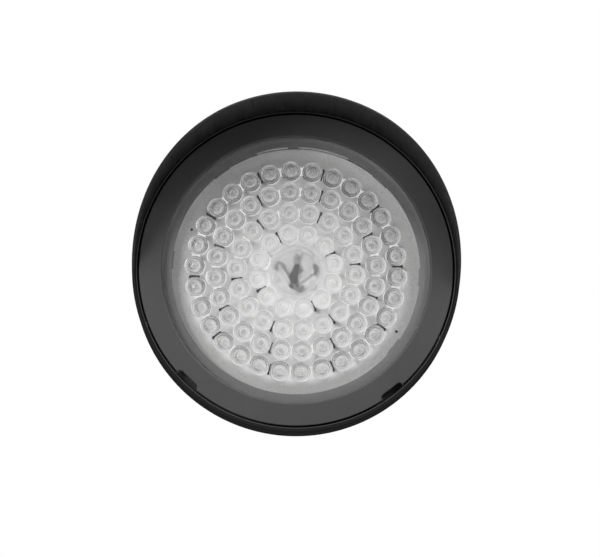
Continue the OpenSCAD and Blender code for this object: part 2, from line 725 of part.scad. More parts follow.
module lower_knuckle() {
    color([0.16, 0.16, 0.165]) at_pivot() difference() {
        union() {
            x_cylinder(disc_r, -disc_w, -run_gap);
            difference() {
                translate([0, 0, -hub_len]) {
                    cylinder(h = 1.5, r1 = hub_r - 1.5, r2 = hub_r);
                    translate([0, 0, 1.5]) cylinder(h = hub_len - disc_r + 4, r = hub_r);
                    translate([-disc_w + 2, -arm_neck_r + 2, 6])
                        cube([disc_w - run_gap - 3, 2 * arm_neck_r - 4, hub_len - 6]);
                }
                x_cylinder(sweep_r, -run_gap, hub_len);
            }
        }
        x_cylinder(bolt_d / 2 + screw_fit, -disc_w - cut, cut);
        translate([-disc_w + nut_well, 0, 0]) rotate([0, -90, 0]) cylinder(h = nut_well + cut,
            d = (nut_af + 0.4) / cos(30), $fn = 6);
        x_ring(wire_ring_r, wire_boss_r, -wire_ring_d - run_gap, cut);
        x_ring(seal_out + screw_fit, seal_in - screw_fit, -run_gap - seal_depth, cut);
        locking_grooves(-run_gap, -1, 180 / groove_n);
        translate([-wire_x, 0, -hub_len]) cylinder(h = hub_len - wire_boss_r - 3.5, r = wire_r);
        translate([0, 0, -hub_len - cut]) cylinder(h = stem_in + fit + cut, r = stem_d / 2 + screw_fit);
        translate([0, 0, -hub_len + stem_screw_in]) rotate([-90, 0, 0])
            cylinder(h = hub_r + cut, r = set_screw_r + screw_fit);
    }
}
module knuckle_gasket() {
    color([0.1, 0.1, 0.1]) at_pivot() x_ring(seal_out, seal_in, -run_gap - seal_depth,
        run_gap + seal_depth - 0.45 - soft_gap);
}
module knuckle_bolt() {
    seat = disc_w - well_d + run_gap + washer_t;
    end = disc_w + 3.5;
    color("silver") at_pivot() difference() {
        union() {
            x_cylinder(bolt_d / 2, -end, seat + 1);
            x_cylinder(bolt_head[0] / 2, seat, seat + bolt_head[1]);
        }
        translate([seat + bolt_head[1] / 2, 0, 0]) rotate([0, 90, 0])
            cylinder(h = bolt_head[1], d = bolt_head[2], $fn = 6);
    }
}
module knuckle_washer() {
    color("silver") at_pivot() x_ring(washer_r, bolt_d / 2 + 0.2, disc_w - well_d + run_gap,
        disc_w - well_d + run_gap + washer_t);
}
module knuckle_nut() {
    color("silver") at_pivot() translate([-disc_w + nut_well, 0, 0]) rotate([0, -90, 0]) difference() {
        hex_body(nut_af, 6.5, 0.8);
        translate([0, 0, -cut]) cylinder(h = 9, r = bolt_d / 2 + screw_fit);
    }
}

// Stem: half inch straight thread, locked in the hub, with locknut and O-ring
o_ring_r = 1;
groove_floor = stem_d / 2 - 1.4;
module threaded_stem() {
    chamfer = 1.2;
    color("silver") along_stem() difference() {
        union() {
            translate([0, 0, hub_end - stem_in]) cylinder(h = stem_in + locknut_t, d = stem_d);
            translate([0, 0, -ring_groove - cut]) cylinder(h = ring_groove + 2 * cut, r = groove_floor);
            cylinder(h = stem_free, d = stem_d);
            translate([0, 0, stem_free]) cylinder(h = chamfer, d1 = stem_d, d2 = stem_d - 2 * chamfer);
        }
        translate([0, 0, hub_end - stem_in - cut])
            cylinder(h = stem_in - hub_end + stem_free + chamfer + 2 * cut, d = stem_bore);
    }
}
module stem_set_screw() {
    color([0.25, 0.25, 0.26]) at_pivot() translate([0, stem_d / 2 + screw_fit, -hub_len + stem_screw_in])
        rotate([-90, 0, 0]) difference() {
            cylinder(h = hub_r - stem_d / 2 - 0.6, r = set_screw_r);
            translate([0, 0, hub_r - stem_d / 2 - 3]) cylinder(h = 4, d = set_screw_key, $fn = 6);
        }
}
module lock_nut() {
    color("silver") along_stem(hub_end) difference() {
        hex_body(locknut_af, locknut_t, 1.4);
        translate([0, 0, -cut]) cylinder(h = locknut_t + 2 * cut, r = stem_d / 2 + screw_fit);
    }
}
module stem_o_ring() {
    color([0.08, 0.08, 0.08]) along_stem(-ring_groove / 2)
        rotate_extrude() translate([groove_floor + o_ring_r + 0.02, 0]) circle(r = o_ring_r, $fn = 24);
}

visor_rim();
rim_set_screws();
bezel_ring();
bezel_screws();
lens_glass();
lens_gasket();
optics_ring_1();
optics_ring_2();
optics_ring_3();
optics_ring_4();
led_chips();
led_board();
thermal_pad();
center_cover();
lead_terminals();
board_leads();
board_screws();
lead_grommet();
housing();
led_driver();
driver_screws();
surge_protector();
surge_screws();
ground_screw();
cover_gasket();
rear_cover();
cover_screws();
breather_vent();
arm_gasket();
upper_knuckle();
arm_screws();
lower_knuckle();
knuckle_gasket();
knuckle_bolt();
knuckle_washer();
knuckle_nut();
threaded_stem();
stem_set_screw();
lock_nut();
stem_o_ring();
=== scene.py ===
# %% [markdown]
# A round LED floodlight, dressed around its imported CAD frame.
# The CAD model holds every real size, so this script only builds what the eye needs on top:
# rounded edges, moulded optics, threads, and finishes made of shader nodes.
# Anything that the CAD already shapes well keeps its node and only gets a better finish.

# %% Load the frame
import bmesh
import bpy
import json
import math
from mathutils import Matrix, Vector


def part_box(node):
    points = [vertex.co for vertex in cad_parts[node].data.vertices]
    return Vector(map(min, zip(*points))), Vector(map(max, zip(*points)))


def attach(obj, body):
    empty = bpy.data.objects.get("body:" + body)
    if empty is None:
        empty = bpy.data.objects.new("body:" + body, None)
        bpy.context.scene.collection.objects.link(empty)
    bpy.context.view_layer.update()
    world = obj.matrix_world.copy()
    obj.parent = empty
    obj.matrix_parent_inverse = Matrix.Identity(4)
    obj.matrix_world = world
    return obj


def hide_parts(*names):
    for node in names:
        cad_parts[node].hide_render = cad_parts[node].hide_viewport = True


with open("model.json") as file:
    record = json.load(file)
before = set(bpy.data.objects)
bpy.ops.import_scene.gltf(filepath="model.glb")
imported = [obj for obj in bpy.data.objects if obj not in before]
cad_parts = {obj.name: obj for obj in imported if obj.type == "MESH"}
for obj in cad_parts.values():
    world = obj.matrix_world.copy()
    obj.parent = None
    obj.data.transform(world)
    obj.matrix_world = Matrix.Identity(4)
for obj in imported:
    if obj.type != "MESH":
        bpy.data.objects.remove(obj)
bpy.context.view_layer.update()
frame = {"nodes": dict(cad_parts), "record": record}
nodes = frame["nodes"]

# %% [markdown]
# The lamp is easiest to describe along its own axis: a radius, and a distance forwards from the
# rim's front face. The bezel's face lies 0.8 mm behind that plane, so its box gives the plane's
# place. Points are worked out in millimetres and turned into the frame's metres in one function.

# %% The lamp's own coordinates
MM = 0.001
BEZEL_DROP = 0.8
RIM_IN = 123.0
rim_front_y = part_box("bezel_ring")[0].y - BEZEL_DROP * MM
rim_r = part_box("visor_rim")[1].x / MM


def at_head(x, up, forwards):
    """A point in the frame, from millimetres across, up and forwards of the rim's front."""
    return Vector((x * MM, rim_front_y - forwards * MM, up * MM))


def polar(radius, angle, forwards):
    """The same from a radius and an angle in degrees, turning from +X towards the top."""
    a = math.radians(angle)
    return at_head(radius * math.cos(a), radius * math.sin(a), forwards)


print("rim front at y =", round(rim_front_y, 4), "rim radius", round(rim_r, 2), "mm")

# %% [markdown]
# Blender keeps a shape apart from the object that shows it, and a mesh that is being worked on
# apart from the finished one. Three small functions do that bookkeeping for every piece. Most
# shapes here are rings of corners joined by faces, so one of the three makes those faces.

# %% Objects and meshes
WELD = 1e-7


def placed(name, data):
    """An object that shows this data, put in the scene."""
    thing = bpy.data.objects.new(name, data)
    bpy.context.scene.collection.objects.link(thing)
    return thing


def skin(bm, rings, loop=True, open_by=0):
    """Faces from each ring of corners to the next. In a loop the last ring meets the first."""
    count = len(rings[0])
    for one, two in zip(rings, rings[1:] + (rings[:1] if loop else [])):
        for i in range(count - open_by):
            n = (i + 1) % count
            bm.faces.new((one[i], one[n], two[n], two[i]))


def meshed(bm, name, outwards=True):
    """The finished mesh. Faces made corner by corner still have to be turned outwards."""
    if outwards:
        bmesh.ops.recalc_face_normals(bm, faces=bm.faces)
    mesh = bpy.data.meshes.new(name)
    bm.to_mesh(mesh)
    bm.free()
    return mesh


# %% [markdown]
# A product photo like this one is taken with a long lens from a few metres away, a little below
# the lamp's axis. The head also hangs a few degrees out of level, which is the camera's roll here.
# The camera's distance and lens follow from how much the visor's front edge grows against the rim.

# %% Camera
IMAGE_WIDTH, IMAGE_HEIGHT = 600, 557
SENSOR = 36.0
MM_PER_PIXEL = 0.7735
CAMERA_DISTANCE = 2.54
CAMERA_BELOW = 8.0
CAMERA_ROLL = 3.2
BEZEL_CENTRE_PIXEL = (296.1, 268.9)


def make_camera():
    pixels = CAMERA_DISTANCE / (MM_PER_PIXEL * MM)
    camera = placed("camera", bpy.data.cameras.new("camera"))
    camera.data.sensor_width = SENSOR
    camera.data.lens = SENSOR * pixels / IMAGE_WIDTH
    camera.data.clip_start = 0.05
    low = math.radians(CAMERA_BELOW)
    look = Vector((0, math.cos(low), math.sin(low)))
    level, above = Vector((1, 0, 0)), Vector((0, -math.sin(low), math.cos(low)))
    roll = math.radians(CAMERA_ROLL)
    right = level * math.cos(roll) + above * math.sin(roll)
    up = above * math.cos(roll) - level * math.sin(roll)
    off_x = (BEZEL_CENTRE_PIXEL[0] - IMAGE_WIDTH / 2) / pixels
    off_y = (IMAGE_HEIGHT / 2 - BEZEL_CENTRE_PIXEL[1]) / pixels
    aim = (look - right * off_x - up * off_y).normalized()
    right = aim.cross(up).normalized()
    turn = Matrix((right, right.cross(aim), -aim)).transposed().to_4x4()
    place = at_head(0, 0, 0) - look * CAMERA_DISTANCE
    camera.matrix_world = Matrix.Translation(place) @ turn
    bpy.context.scene.camera = camera
    print("camera lens", round(camera.data.lens, 1), "mm at", [round(v, 3) for v in place])


make_camera()

# %% [markdown]
# The studio is white all round, and black paint shows whatever it reflects. So the camera sees a
# bright white world, but the lamp is lit by a dimmer sky and by six square soft boxes that the
# camera can't see. They are unequal because the photo's light is: two on the left, three on the
# right, of which one shines up weakly from below, and one behind that picks out the fins.
# The floor lies lower than the lowest box, so that it never cuts the box's light.

# %% Studio
FLOOR_DROP, FLOOR_HALF = 1.9, 12
BOX_SIDE, BOX_AWAY = 1.3, 3


def soft_lamp(name, right, above, power):
    """A square soft box that looks at the lamp's face, from degrees right of it and above it."""
    data = bpy.data.lights.new(name, "AREA")
    data.size, data.energy = BOX_SIDE, power
    lamp = placed(name, data)
    turn, lift = math.radians(right), math.radians(above)
    away = Vector((math.cos(lift) * math.sin(turn), -math.cos(lift) * math.cos(turn),
                   math.sin(lift)))
    lamp.location = at_head(0, 0, 0) + BOX_AWAY * away
    lamp.rotation_euler = (-away).to_track_quat("-Z", "Y").to_euler()
    lamp.visible_camera = False


def make_world(seen, given):
    """White for the camera, and a softer sky for everything that the light falls on."""
    world = bpy.data.worlds.new("studio")
    world.use_nodes = True
    tree = world.node_tree
    tree.nodes.clear()
    path = tree.nodes.new("ShaderNodeLightPath")
    mix = tree.nodes.new("ShaderNodeMixShader")
    out = tree.nodes.new("ShaderNodeOutputWorld")
    tree.links.new(path.outputs["Is Camera Ray"], mix.inputs["Fac"])
    for number, strength in ((1, given), (2, seen)):
        sky = tree.nodes.new("ShaderNodeBackground")
        sky.inputs["Color"].default_value = (1, 1, 1, 1)
        sky.inputs["Strength"].default_value = strength
        tree.links.new(sky.outputs[0], mix.inputs[number])
    tree.links.new(mix.outputs[0], out.inputs["Surface"])
    bpy.context.scene.world = world


def make_floor():
    corners = ((-1, -1), (1, -1), (1, 1), (-1, 1))
    mesh = bpy.data.meshes.new("floor")
    mesh.from_pydata([(x * FLOOR_HALF, y * FLOOR_HALF, -FLOOR_DROP) for x, y in corners],
                     [], [(0, 1, 2, 3)])
    floor = placed("floor", mesh)
    return floor


bpy.context.scene.view_settings.view_transform = "Standard"
make_world(seen=1.0, given=0.185)
for name, right, above, power in (
        ("left_low", -35, 11, 68), ("left_high", -35, 50, 69), ("right_high", 35, 50, 66),
        ("right_middle", 35, 32, 45), ("right_below", 35, -20, 14), ("behind", 165, 38, 60)):
    soft_lamp(name, right, above, power)
floor = make_floor()
print("soft boxes:", len(bpy.data.lights), "and a floor", FLOOR_DROP, "m down")

# %% [markdown]
# Shader maths reads badly as dozens of node lines. This small class wraps a socket, so that
# 1 - mask or mask * 0.4 adds the Math nodes by itself, and a finish reads like a formula.
# Geometry Nodes use the same Math nodes, so one base class serves both kinds of tree.

# %% Node helpers
class Value:
    """A socket of a tree, with the sums that the finishes and recipes use."""

    def __init__(self, tree, socket):
        self.tree, self.socket = tree, socket

    def sum(self, operation, *terms):
        return self.tree.add("ShaderNodeMath", {"operation": operation}, dict(enumerate(terms)))

    def __add__(self, other): return self.sum("ADD", self, other)
    def __radd__(self, other): return self.sum("ADD", other, self)
    def __sub__(self, other): return self.sum("SUBTRACT", self, other)
    def __rsub__(self, other): return self.sum("SUBTRACT", other, self)
    def __mul__(self, other): return self.sum("MULTIPLY", self, other)
    def __truediv__(self, other): return self.sum("DIVIDE", self, other)
    def over(self, limit): return self.sum("GREATER_THAN", self, limit)
    def under(self, limit): return self.sum("LESS_THAN", self, limit)
    def least(self, other): return self.sum("MINIMUM", self, other)
    def most(self, other): return self.sum("MAXIMUM", self, other)


class Tree:
    """A node tree that is filled one node at a time."""

    def add(self, kind, settings=None, values=None, out=0):
        """Adds a node: its settings first, then its sockets' values or links. Gives its output."""
        made = self.nodes.new(kind)
        for key, value in (settings or {}).items():
            if key == "stops":
                ramp = made.color_ramp
                while len(ramp.elements) < len(value):
                    ramp.elements.new(1.0)
                for element, (place, shade) in zip(ramp.elements, value):
                    element.position = place
                    element.color = (shade, shade, shade, 1)
            elif key == "curve":
                line = made.mapping.curves[0]
                while len(line.points) < len(value):
                    line.points.new(1.0, 1.0)
                for point, place in zip(line.points, value):
                    point.location = place
                made.mapping.update()
            else:
                setattr(made, key, value)
        for key, value in (values or {}).items():
            if isinstance(value, Value):
                self.links.new(value.socket, made.inputs[key])
            else:
                made.inputs[key].default_value = value
        return Value(self, made.outputs[out]) if made.outputs else None


# %% [markdown]
# A finish needs only a few words: places, noises, ramps, and a surface at the end. This class
# holds them, so that each material below reads as what it does.

# %% Finish helpers
finishes = {}


def grey(shade, warm=0.0):
    """A neutral colour, a little warm or cold."""
    return (shade * (1 + warm), shade, shade * (1 - warm), 1)


class Finish(Tree):
    """One material, built from nodes and filed in finishes under its own name."""

    def __init__(self, name):
        self.name = name
        self.material = bpy.data.materials.new(name)
        self.material.use_nodes = True
        self.nodes, self.links = self.material.node_tree.nodes, self.material.node_tree.links
        self.nodes.clear()

    def node(self, kind, settings=None, values=None, out=0):
        return self.add("ShaderNode" + kind, settings, values, out)

    def spot(self):
        """Object coordinates, in metres."""
        return self.node("TexCoord", out="Object")

    def stretched(self, scale):
        return self.node("Mapping", None, {"Vector": self.spot(), "Scale": scale})

    def axis(self, letter):
        """One of the object coordinates, in metres."""
        return self.node("SeparateXYZ", None, {0: self.spot()}, letter)

    def vector(self, operation, terms, out=0):
        return self.node("VectorMath", {"operation": operation}, dict(enumerate(terms)), out)

    def dot(self, *terms):
        return self.vector("DOT_PRODUCT", terms, "Value")

    def flat(self):
        """Object coordinates with nothing left along the lamp's axis."""
        return self.vector("MULTIPLY", (self.spot(), (1, 0, 1)))

    def lamp_place(self):
        """Radius from the lamp's axis and distance forwards of the rim, both in millimetres."""
        radius = self.vector("LENGTH", (self.flat(),), "Value")
        return radius / MM, (rim_front_y - self.axis("Y")) / MM

    def noise(self, size, detail=2.0, where=None, rough=0.5):
        """Noise from 0 to 1 with features about size millimetres across."""
        values = {"Vector": where or self.spot(), "Scale": 1 / (size * MM), "Detail": detail,
                  "Roughness": rough}
        return self.node("TexNoise", None, values, "Fac")

    def ramp(self, value, *stops):
        """Value through a ramp of (place, shade) stops."""
        return self.node("ValToRGB", {"stops": stops}, {"Fac": value})

    def mix(self, mask, first, second):
        """Colour first where the mask is 0, second where it is 1."""
        return self.node("Mix", {"data_type": "RGBA"}, {"Factor": mask, 6: first, 7: second}, 2)

    def bump(self, height, depth, under=None):
        """A normal from a height of 0 to 1 that stands depth millimetres proud."""
        values = {"Height": height, "Distance": depth * MM}
        if under:
            values["Normal"] = under
        return self.node("Bump", None, values)

    def edges(self, radius=0.5):
        """About 1 on sharp outer edges and 0 on flat stretches."""
        soft = self.node("Bevel", {"samples": 4}, {"Radius": radius * MM})
        same = self.dot(soft, self.node("NewGeometry", out="Normal"))
        return self.ramp(1 - same, (0.02, 0.0), (0.22, 1.0))

    def ray(self, kind):
        """1 for rays of this kind and 0 for all others."""
        return self.node("LightPath", out=kind)

    def clear(self, shade):
        return self.node("BsdfTransparent", None, {"Color": grey(shade)})

    def surface(self, **values):
        """The Principled shader that ends most finishes. Names use _ for spaces."""
        named = {key.replace("_", " "): value for key, value in values.items()}
        return self.node("BsdfPrincipled", None, named)

    def done(self, shader, other=None, mask=None):
        """Ends the finish in one shader, or in another one where the mask is 1."""
        if other:
            shader = self.node("MixShader", None, {0: mask, 1: shader, 2: other})
        self.node("OutputMaterial", None, {"Surface": shader})
        finishes[self.name] = self.material


# %% [markdown]
# A recipe is a Geometry Nodes tree with named inputs. It is cooked once for each set of inputs,
# and gives a plain mesh, so no piece depends on a modifier later.

# %% Recipe helpers
class Recipe(Tree):
    """A Geometry Nodes tree with named inputs, which shapes the mesh that it is given."""

    def __init__(self, name, **inputs):
        group = bpy.data.node_groups.new(name, "GeometryNodeTree")
        self.group, self.nodes, self.links = group, group.nodes, group.links
        group.interface.new_socket("Geometry", in_out="OUTPUT", socket_type="NodeSocketGeometry")
        self.keys = {}
        for title, kind in {"Geometry": "Geometry", **inputs}.items():
            socket = group.interface.new_socket(title, in_out="INPUT",
                                                socket_type="NodeSocket" + kind)
            self.keys[title] = socket.identifier
        self.start = self.nodes.new("NodeGroupInput")

    def given(self, title):
        return Value(self, self.start.outputs[title])

    def done(self, geometry):
        """Ends the tree: real geometry in one finish."""
        real = self.add("GeometryNodeRealizeInstances", None, {0: geometry})
        painted = self.add("GeometryNodeSetMaterial", None,
                           {"Geometry": real, "Material": self.given("Finish")})
        self.add("NodeGroupOutput", None, {0: painted})

    def cook(self, name, mesh=None, **values):
        """A plain mesh: the recipe's answer for these inputs."""
        pan = placed(name, mesh or bpy.data.meshes.new(name))
        modifier = pan.modifiers.new(self.group.name, "NODES")
        modifier.node_group = self.group
        for title, value in values.items():
            modifier[self.keys[title]] = value
        ready = pan.evaluated_get(bpy.context.evaluated_depsgraph_get())
        made = bpy.data.meshes.new_from_object(ready)
        pan.modifiers.clear()
        bpy.data.objects.remove(pan)
        made.name = name
        made.materials.clear()
        made.materials.append(values["Finish"])
        return made


# %% [markdown]
# The rim, bezel and castings wear powder coat: paint dust melted onto the metal, which leaves a
# fine skin like orange peel. Up close it is a bump of under a millimetre. From a step away it only
# softens the gloss. Handling leaves faint dull patches, and sharp edges have a thinner, paler coat.
# On the real lamp only the visor's inner wall mirrors the pale face. The rim's face, outer skin
# and bore look flat black, so there (dull_from) a duller paint takes over. The wall of the
# housing's cup, round the board, is turned clean and left as bright metal (bare).

# %% Powder coat
CUP_R, CUP_FLOOR = 97.9, -22


def powder_coat(name, shade, peel=0.7, depth=0.012, cast=0.0, bare=False, dull_from=None):
    coat = Finish(name)
    peeled, patches, dust = coat.noise(peel), coat.noise(45, 3.0), coat.noise(7, 4.0)
    wear_and_painted_light = coat.edges(0.5) * coat.ramp(coat.noise(3, 3.0), (0.4, 0.2), (0.65, 1.0))
    shaded = coat.mix(patches, grey(shade * 0.85), grey(shade * 1.15))
    dusty = coat.mix(coat.ramp(dust, (0.55, 0.0), (0.85, 0.25)), shaded, grey(shade * 1.6, 0.01))
    colour = coat.mix(wear_and_painted_light * 0.5, dusty, grey(shade * 2.6 + 0.02))
    normal = coat.bump(peeled, depth)
    if cast:
        normal = coat.bump(coat.noise(2.6, 3.0), cast, under=normal)
    look = {"Roughness": patches * 0.16 + peeled * 0.06 + 0.39, "Normal": normal,
            "Specular_IOR_Level": 0.27}
    if bare:
        radius, forwards = coat.lamp_place()
        look["Metallic"] = radius.under(CUP_R) * forwards.over(CUP_FLOOR)
        colour = coat.mix(look["Metallic"], colour, grey(0.97))
    paint = coat.surface(Base_Color=colour, **look)
    if not dull_from:
        return coat.done(paint)
    radius, forwards = coat.lamp_place()
    outside = (radius.over(dull_from) * forwards.under(1) + radius.over(rim_r - 0.6)
               + radius.under(RIM_IN + 0.1))
    dull = coat.surface(Base_Color=coat.mix(patches, grey(0.007), grey(0.01)), Roughness=0.8,
                        Normal=normal, Specular_IOR_Level=0.02)
    coat.done(paint, dull, outside.least(1))


powder_coat("visor_paint", 0.0055, dull_from=123.75)
powder_coat("bezel_paint", 0.026)
powder_coat("housing_paint", 0.02, peel=0.9, depth=0.02, cast=0.05, bare=True)
print("paints:", *finishes)

# %% [markdown]
# Fasteners are steel. Turned and drawn steel carries fine lines, which a noise stretched along the
# lamp's axis stands in for. Black oxide is the same steel under a thin dark skin, and zinc plate is
# paler, a little blue, with cloudy patches. All of them rub paler on their edges.

# %% Metals
def turned_steel(name, shade, rough, grain=0.35, cold=0.0, patch=0.15):
    steel = Finish(name)
    lines = steel.noise(grain, 2.0, steel.stretched((1, 0.12, 1)))
    cloud = steel.noise(9, 3.0)
    dark, pale = grey(shade * (1 - patch), -cold), grey(shade * (1 + patch), -cold)
    colour = steel.mix(cloud, dark, pale)
    wear_and_painted_light = steel.mix(steel.edges(0.25) * 0.6, colour, grey(min(1, shade * 1.5 + 0.08)))
    roughness = lines * 0.18 + cloud * 0.12 + (rough - 0.15)
    steel.done(steel.surface(Base_Color=wear_and_painted_light, Metallic=1.0, Roughness=roughness,
                             Normal=steel.bump(lines, 0.006)))


turned_steel("bright_steel", 0.58, 0.3)
turned_steel("black_steel", 0.09, 0.42)
turned_steel("zinc_steel", 0.56, 0.36, grain=0.6, cold=0.03, patch=0.22)
turned_steel("driver_can", 0.7, 0.38, grain=0.8)

# %% [markdown]
# Rubber, silicone and moulded plastic share a recipe: a flat colour broken by faint clouds, a dull
# sheen, a fine grain from the mould and a little pale dust. What sets them apart is how dark, how
# rough and how grainy each one is. Two need more. The grey seal is painted paler where light falls
# on it, most at the lower right and hardly at the top, with a faint mottle, and painted paler along
# its outer edge against the bezel's shadow. The leads lie under the cap's frosting, so their black
# is painted as plain greys, which stand in for the light that the frosting scatters over them.
# Their jackets are painted paler still to both sides and near the cap's top edge, where nothing
# dark shows (paler).

# %% Rubbers and plastics
def moulded(name, colour, rough, grain=0.4, depth=0.01, dust=0.1, painted_light_grey=0.0, paler=0.0):
    part = Finish(name)
    cloud, fine = part.noise(14, 3.0), part.noise(grain)
    dark = (*[c * 0.88 for c in colour], 1)
    pale = (*[min(1.0, c * 1.12) for c in colour], 1)
    dust_and_painted_light = part.mix(part.ramp(part.noise(3, 4.0), (0.5, 0.0), (0.8, dust)),
                       part.mix(cloud, dark, pale), grey(0.6))
    # Painted light: under the frosting the leads' black is made grey, and near white where nothing
    # dark shows.
    if paler:
        above = part.ramp(part.axis("Z") / MM / 20, (0.6, 0.0), (0.72, 0.55))
        aside = part.ramp((part.axis("X") / MM + 20) / 40, (0.41, 0.65), (0.45, 0.0),
                          (0.56, 0.0), (0.6, 0.8))
        dust_and_painted_light = part.mix(above.most(aside), grey(paler), grey(0.85))
    if painted_light_grey:
        # Painted light: paler where light falls, most at the lower right and low down, with a faint
        # mottle.
        low_right = part.dot(part.spot(), (2.5, 0, -1.9)) + 0.37
        lower = part.ramp(part.axis("Z") * 10, (0.2, 1.0), (0.5, 0.0))
        mottle = part.ramp(part.noise(4, 4.0), (0.35, 0.0), (0.65, 1.0))
        specks = (part.noise(0.9) - 0.5) * 0.4
        light_and_mottle = (low_right * lower + mottle * 0.06 + specks).most(0).least(1)
        dust_and_painted_light = part.mix(light_and_mottle, dust_and_painted_light, grey(painted_light_grey))
        # Painted light along the outer edge, which lifts the bezel's shadow there.
        radius, _ = part.lamp_place()
        painted_edge_light = part.ramp((radius - 96) / 10, (0.5, 0.0), (0.75, 0.45))
        dust_and_painted_light = part.mix(painted_edge_light, dust_and_painted_light, grey(0.24))
    roughness = cloud * 0.12 + fine * 0.08 + (rough - 0.1)
    part.done(part.surface(Base_Color=dust_and_painted_light, Roughness=roughness, Normal=part.bump(fine, depth)))


moulded("grey_silicone", (0.098, 0.098, 0.098), 0.6, grain=0.5, depth=0.02, dust=0.04,
        painted_light_grey=0.28)
moulded("black_rubber", (0.025, 0.025, 0.026), 0.72, depth=0.02)
moulded("dark_plastic", (0.035, 0.035, 0.037), 0.5, dust=0.05)
moulded("lead_jacket", (0.02, 0.02, 0.021), 0.55, dust=0.02, paler=0.34)
# Two painted greys for the leads, which stand in for the light that the frosting scatters over
# them.
moulded("lead_painted_haze_dark", (0.2, 0.2, 0.2), 0.55, dust=0.0)
moulded("lead_painted_haze_pale", (0.3, 0.3, 0.3), 0.55, dust=0.0)
moulded("heat_sheet", (0.1, 0.105, 0.11), 0.7, dust=0.0)
moulded("surge_case", (0.5, 0.13, 0.04), 0.45)
moulded("ground_green", (0.03, 0.24, 0.08), 0.35)
moulded("phosphor", (0.62, 0.6, 0.5), 0.35, dust=0.0)

# %% [markdown]
# The circuit board is an aluminium plate under a white solder mask. The mask is a smooth lacquer
# that follows the copper tracks beneath it, so it has a slow, shallow relief and a soft gloss.
# Light that has been through the lenses gathers on it in bright patches. Here shadow rays pass
# straight through the lenses, so the patches are painted light: round the lenses in the lower half,
# strongest between those of the outer ring, and a paler middle that fades outwards, painted lighter
# below the cap and darker above it. Under these the mask is painted grey, darker towards the top,
# as painted shade under the bezel and visor.

# %% Board
def white_mask():
    mask = Finish("white_board")
    tracks = mask.ramp(mask.noise(5.5, 0.0), (0.47, 0.0), (0.53, 1.0))
    cloud, fine = mask.noise(20), mask.noise(0.9)
    radius, _ = mask.lamp_place()
    across, height = mask.axis("X"), mask.axis("Z")
    # Painted light: how much the paler middle takes over, by radius.
    wear_and_painted_light = mask.ramp(radius / 100, (0.17, 0.133), (0.195, 0.25), (0.25, 0.24), (0.29, 0.122),
                     (0.46, 0.107), (0.62, 0.085), (0.82, 0.043), (0.89, 0.0))
    # Painted light and shade round the cap: lighter below it, darker above it.
    lower = 0.8 - height * 30 * mask.ramp(radius / 100, (0.25, 1.0), (0.35, 0.0))
    # Random patches, with painted shade that darkens the board towards the top.
    patches_and_top_shade = (cloud - 0.5) * 0.25 + (fine - 0.5) * 1.5 - height * 1.6 + 0.5
    colour = mask.mix(patches_and_top_shade.most(0).least(1), grey(0.38, 0.004), grey(0.58, 0.004))
    middle = mask.mix(lower.most(0).least(1), grey(0.64), grey(0.96))
    colour = mask.mix(wear_and_painted_light * 4, colour, middle)
    turn = across.sum("ARCTAN2", across, height) * PLACES[0][1]
    between = turn.sum("COSINE", turn) * 0.4 + 0.6
    near = mask.ramp(radius / 100, (0.34, 0.0), (0.38, 0.5), (0.79, 0.5), (0.845, 1.0),
                     (0.87, 0.4), (0.9, 0.0))
    gathered = near * between * mask.ramp(0.5 - height * 6, (0.4, 0.0), (0.75, 0.9))
    colour = mask.mix(gathered, colour, grey(0.95))
    mask.done(mask.surface(Base_Color=colour, Roughness=cloud * 0.1 + 0.32,
                           Normal=mask.bump(tracks, 0.03), Coat_Weight=0.2))


# Rings of lenses: radius, number, and how many pitches clockwise from the top a joint lies.
PLACES = [(78.57, 30, 1), (62.28, 24, 1), (45.98, 18, 1), (29.69, 12, 2)]
white_mask()

# %% [markdown]
# Clear parts need two answers at once: the eye should see them reflect the room, and the light
# should still reach what lies behind. So rays are told apart. The flat pane bends nothing that
# shows: it is clear, with a faint reflection that grows towards a glancing angle, which the eye
# meets only on entering. Shadow rays pass straight through the lenses, all others meet them.
# A lens's moulding steps are too fine to bend light well here, so the light and shade of their
# rings are painted, by how far across the lens a place lies: a part that is the same all round
# (plain), one that is opposite on the side away from the lamp's middle (sided), and one that is
# opposite a quarter turn on (oval). The cap's frosted body meets only the eye's rays, and fades
# out by a radius of 20 mm.

# %% Clear parts
LENS_SHADES = ((0.0, 0.5), (0.18, 0.52), (0.27, 0.55), (0.315, 0.59), (0.36, 0.66), (0.42, 0.66),
               (0.47, 0.56), (0.52, 0.53), (0.56, 0.43), (0.6, 0.42), (0.65, 0.36), (0.7, 0.41),
               (0.75, 0.54), (0.8, 0.5), (0.85, 0.44), (0.92, 0.53))
LENS_SIDES = ((0.0, 0.5), (0.27, 0.51), (0.36, 0.58), (0.43, 0.61), (0.49, 0.56), (0.54, 0.52),
              (0.58, 0.41), (0.63, 0.365), (0.67, 0.445), (0.71, 0.44), (0.76, 0.36), (0.82, 0.34),
              (0.87, 0.37), (0.93, 0.38))
LENS_OVAL = ((0.32, 0.5), (0.38, 0.55), (0.45, 0.45), (0.52, 0.3), (0.585, 0.37), (0.65, 0.54),
             (0.72, 0.48), (0.79, 0.43), (0.855, 0.66), (0.92, 0.98))
def flat_glass():
    pane = Finish("clear_glass")
    dust = pane.ramp(pane.noise(5, 4.0), (0.5, 0.0), (0.9, 1.0))
    shine = pane.node("BsdfGlossy", None, {"Color": grey(0.95), "Roughness": dust * 0.06 + 0.02})
    leaving = pane.node("NewGeometry", out="Backfacing") * (1 - pane.ray("Is Shadow Ray"))
    mirror = pane.node("Fresnel", None, {"IOR": 1.45}) * (1 - leaving)
    pane.done(pane.clear(0.97), shine, mirror)


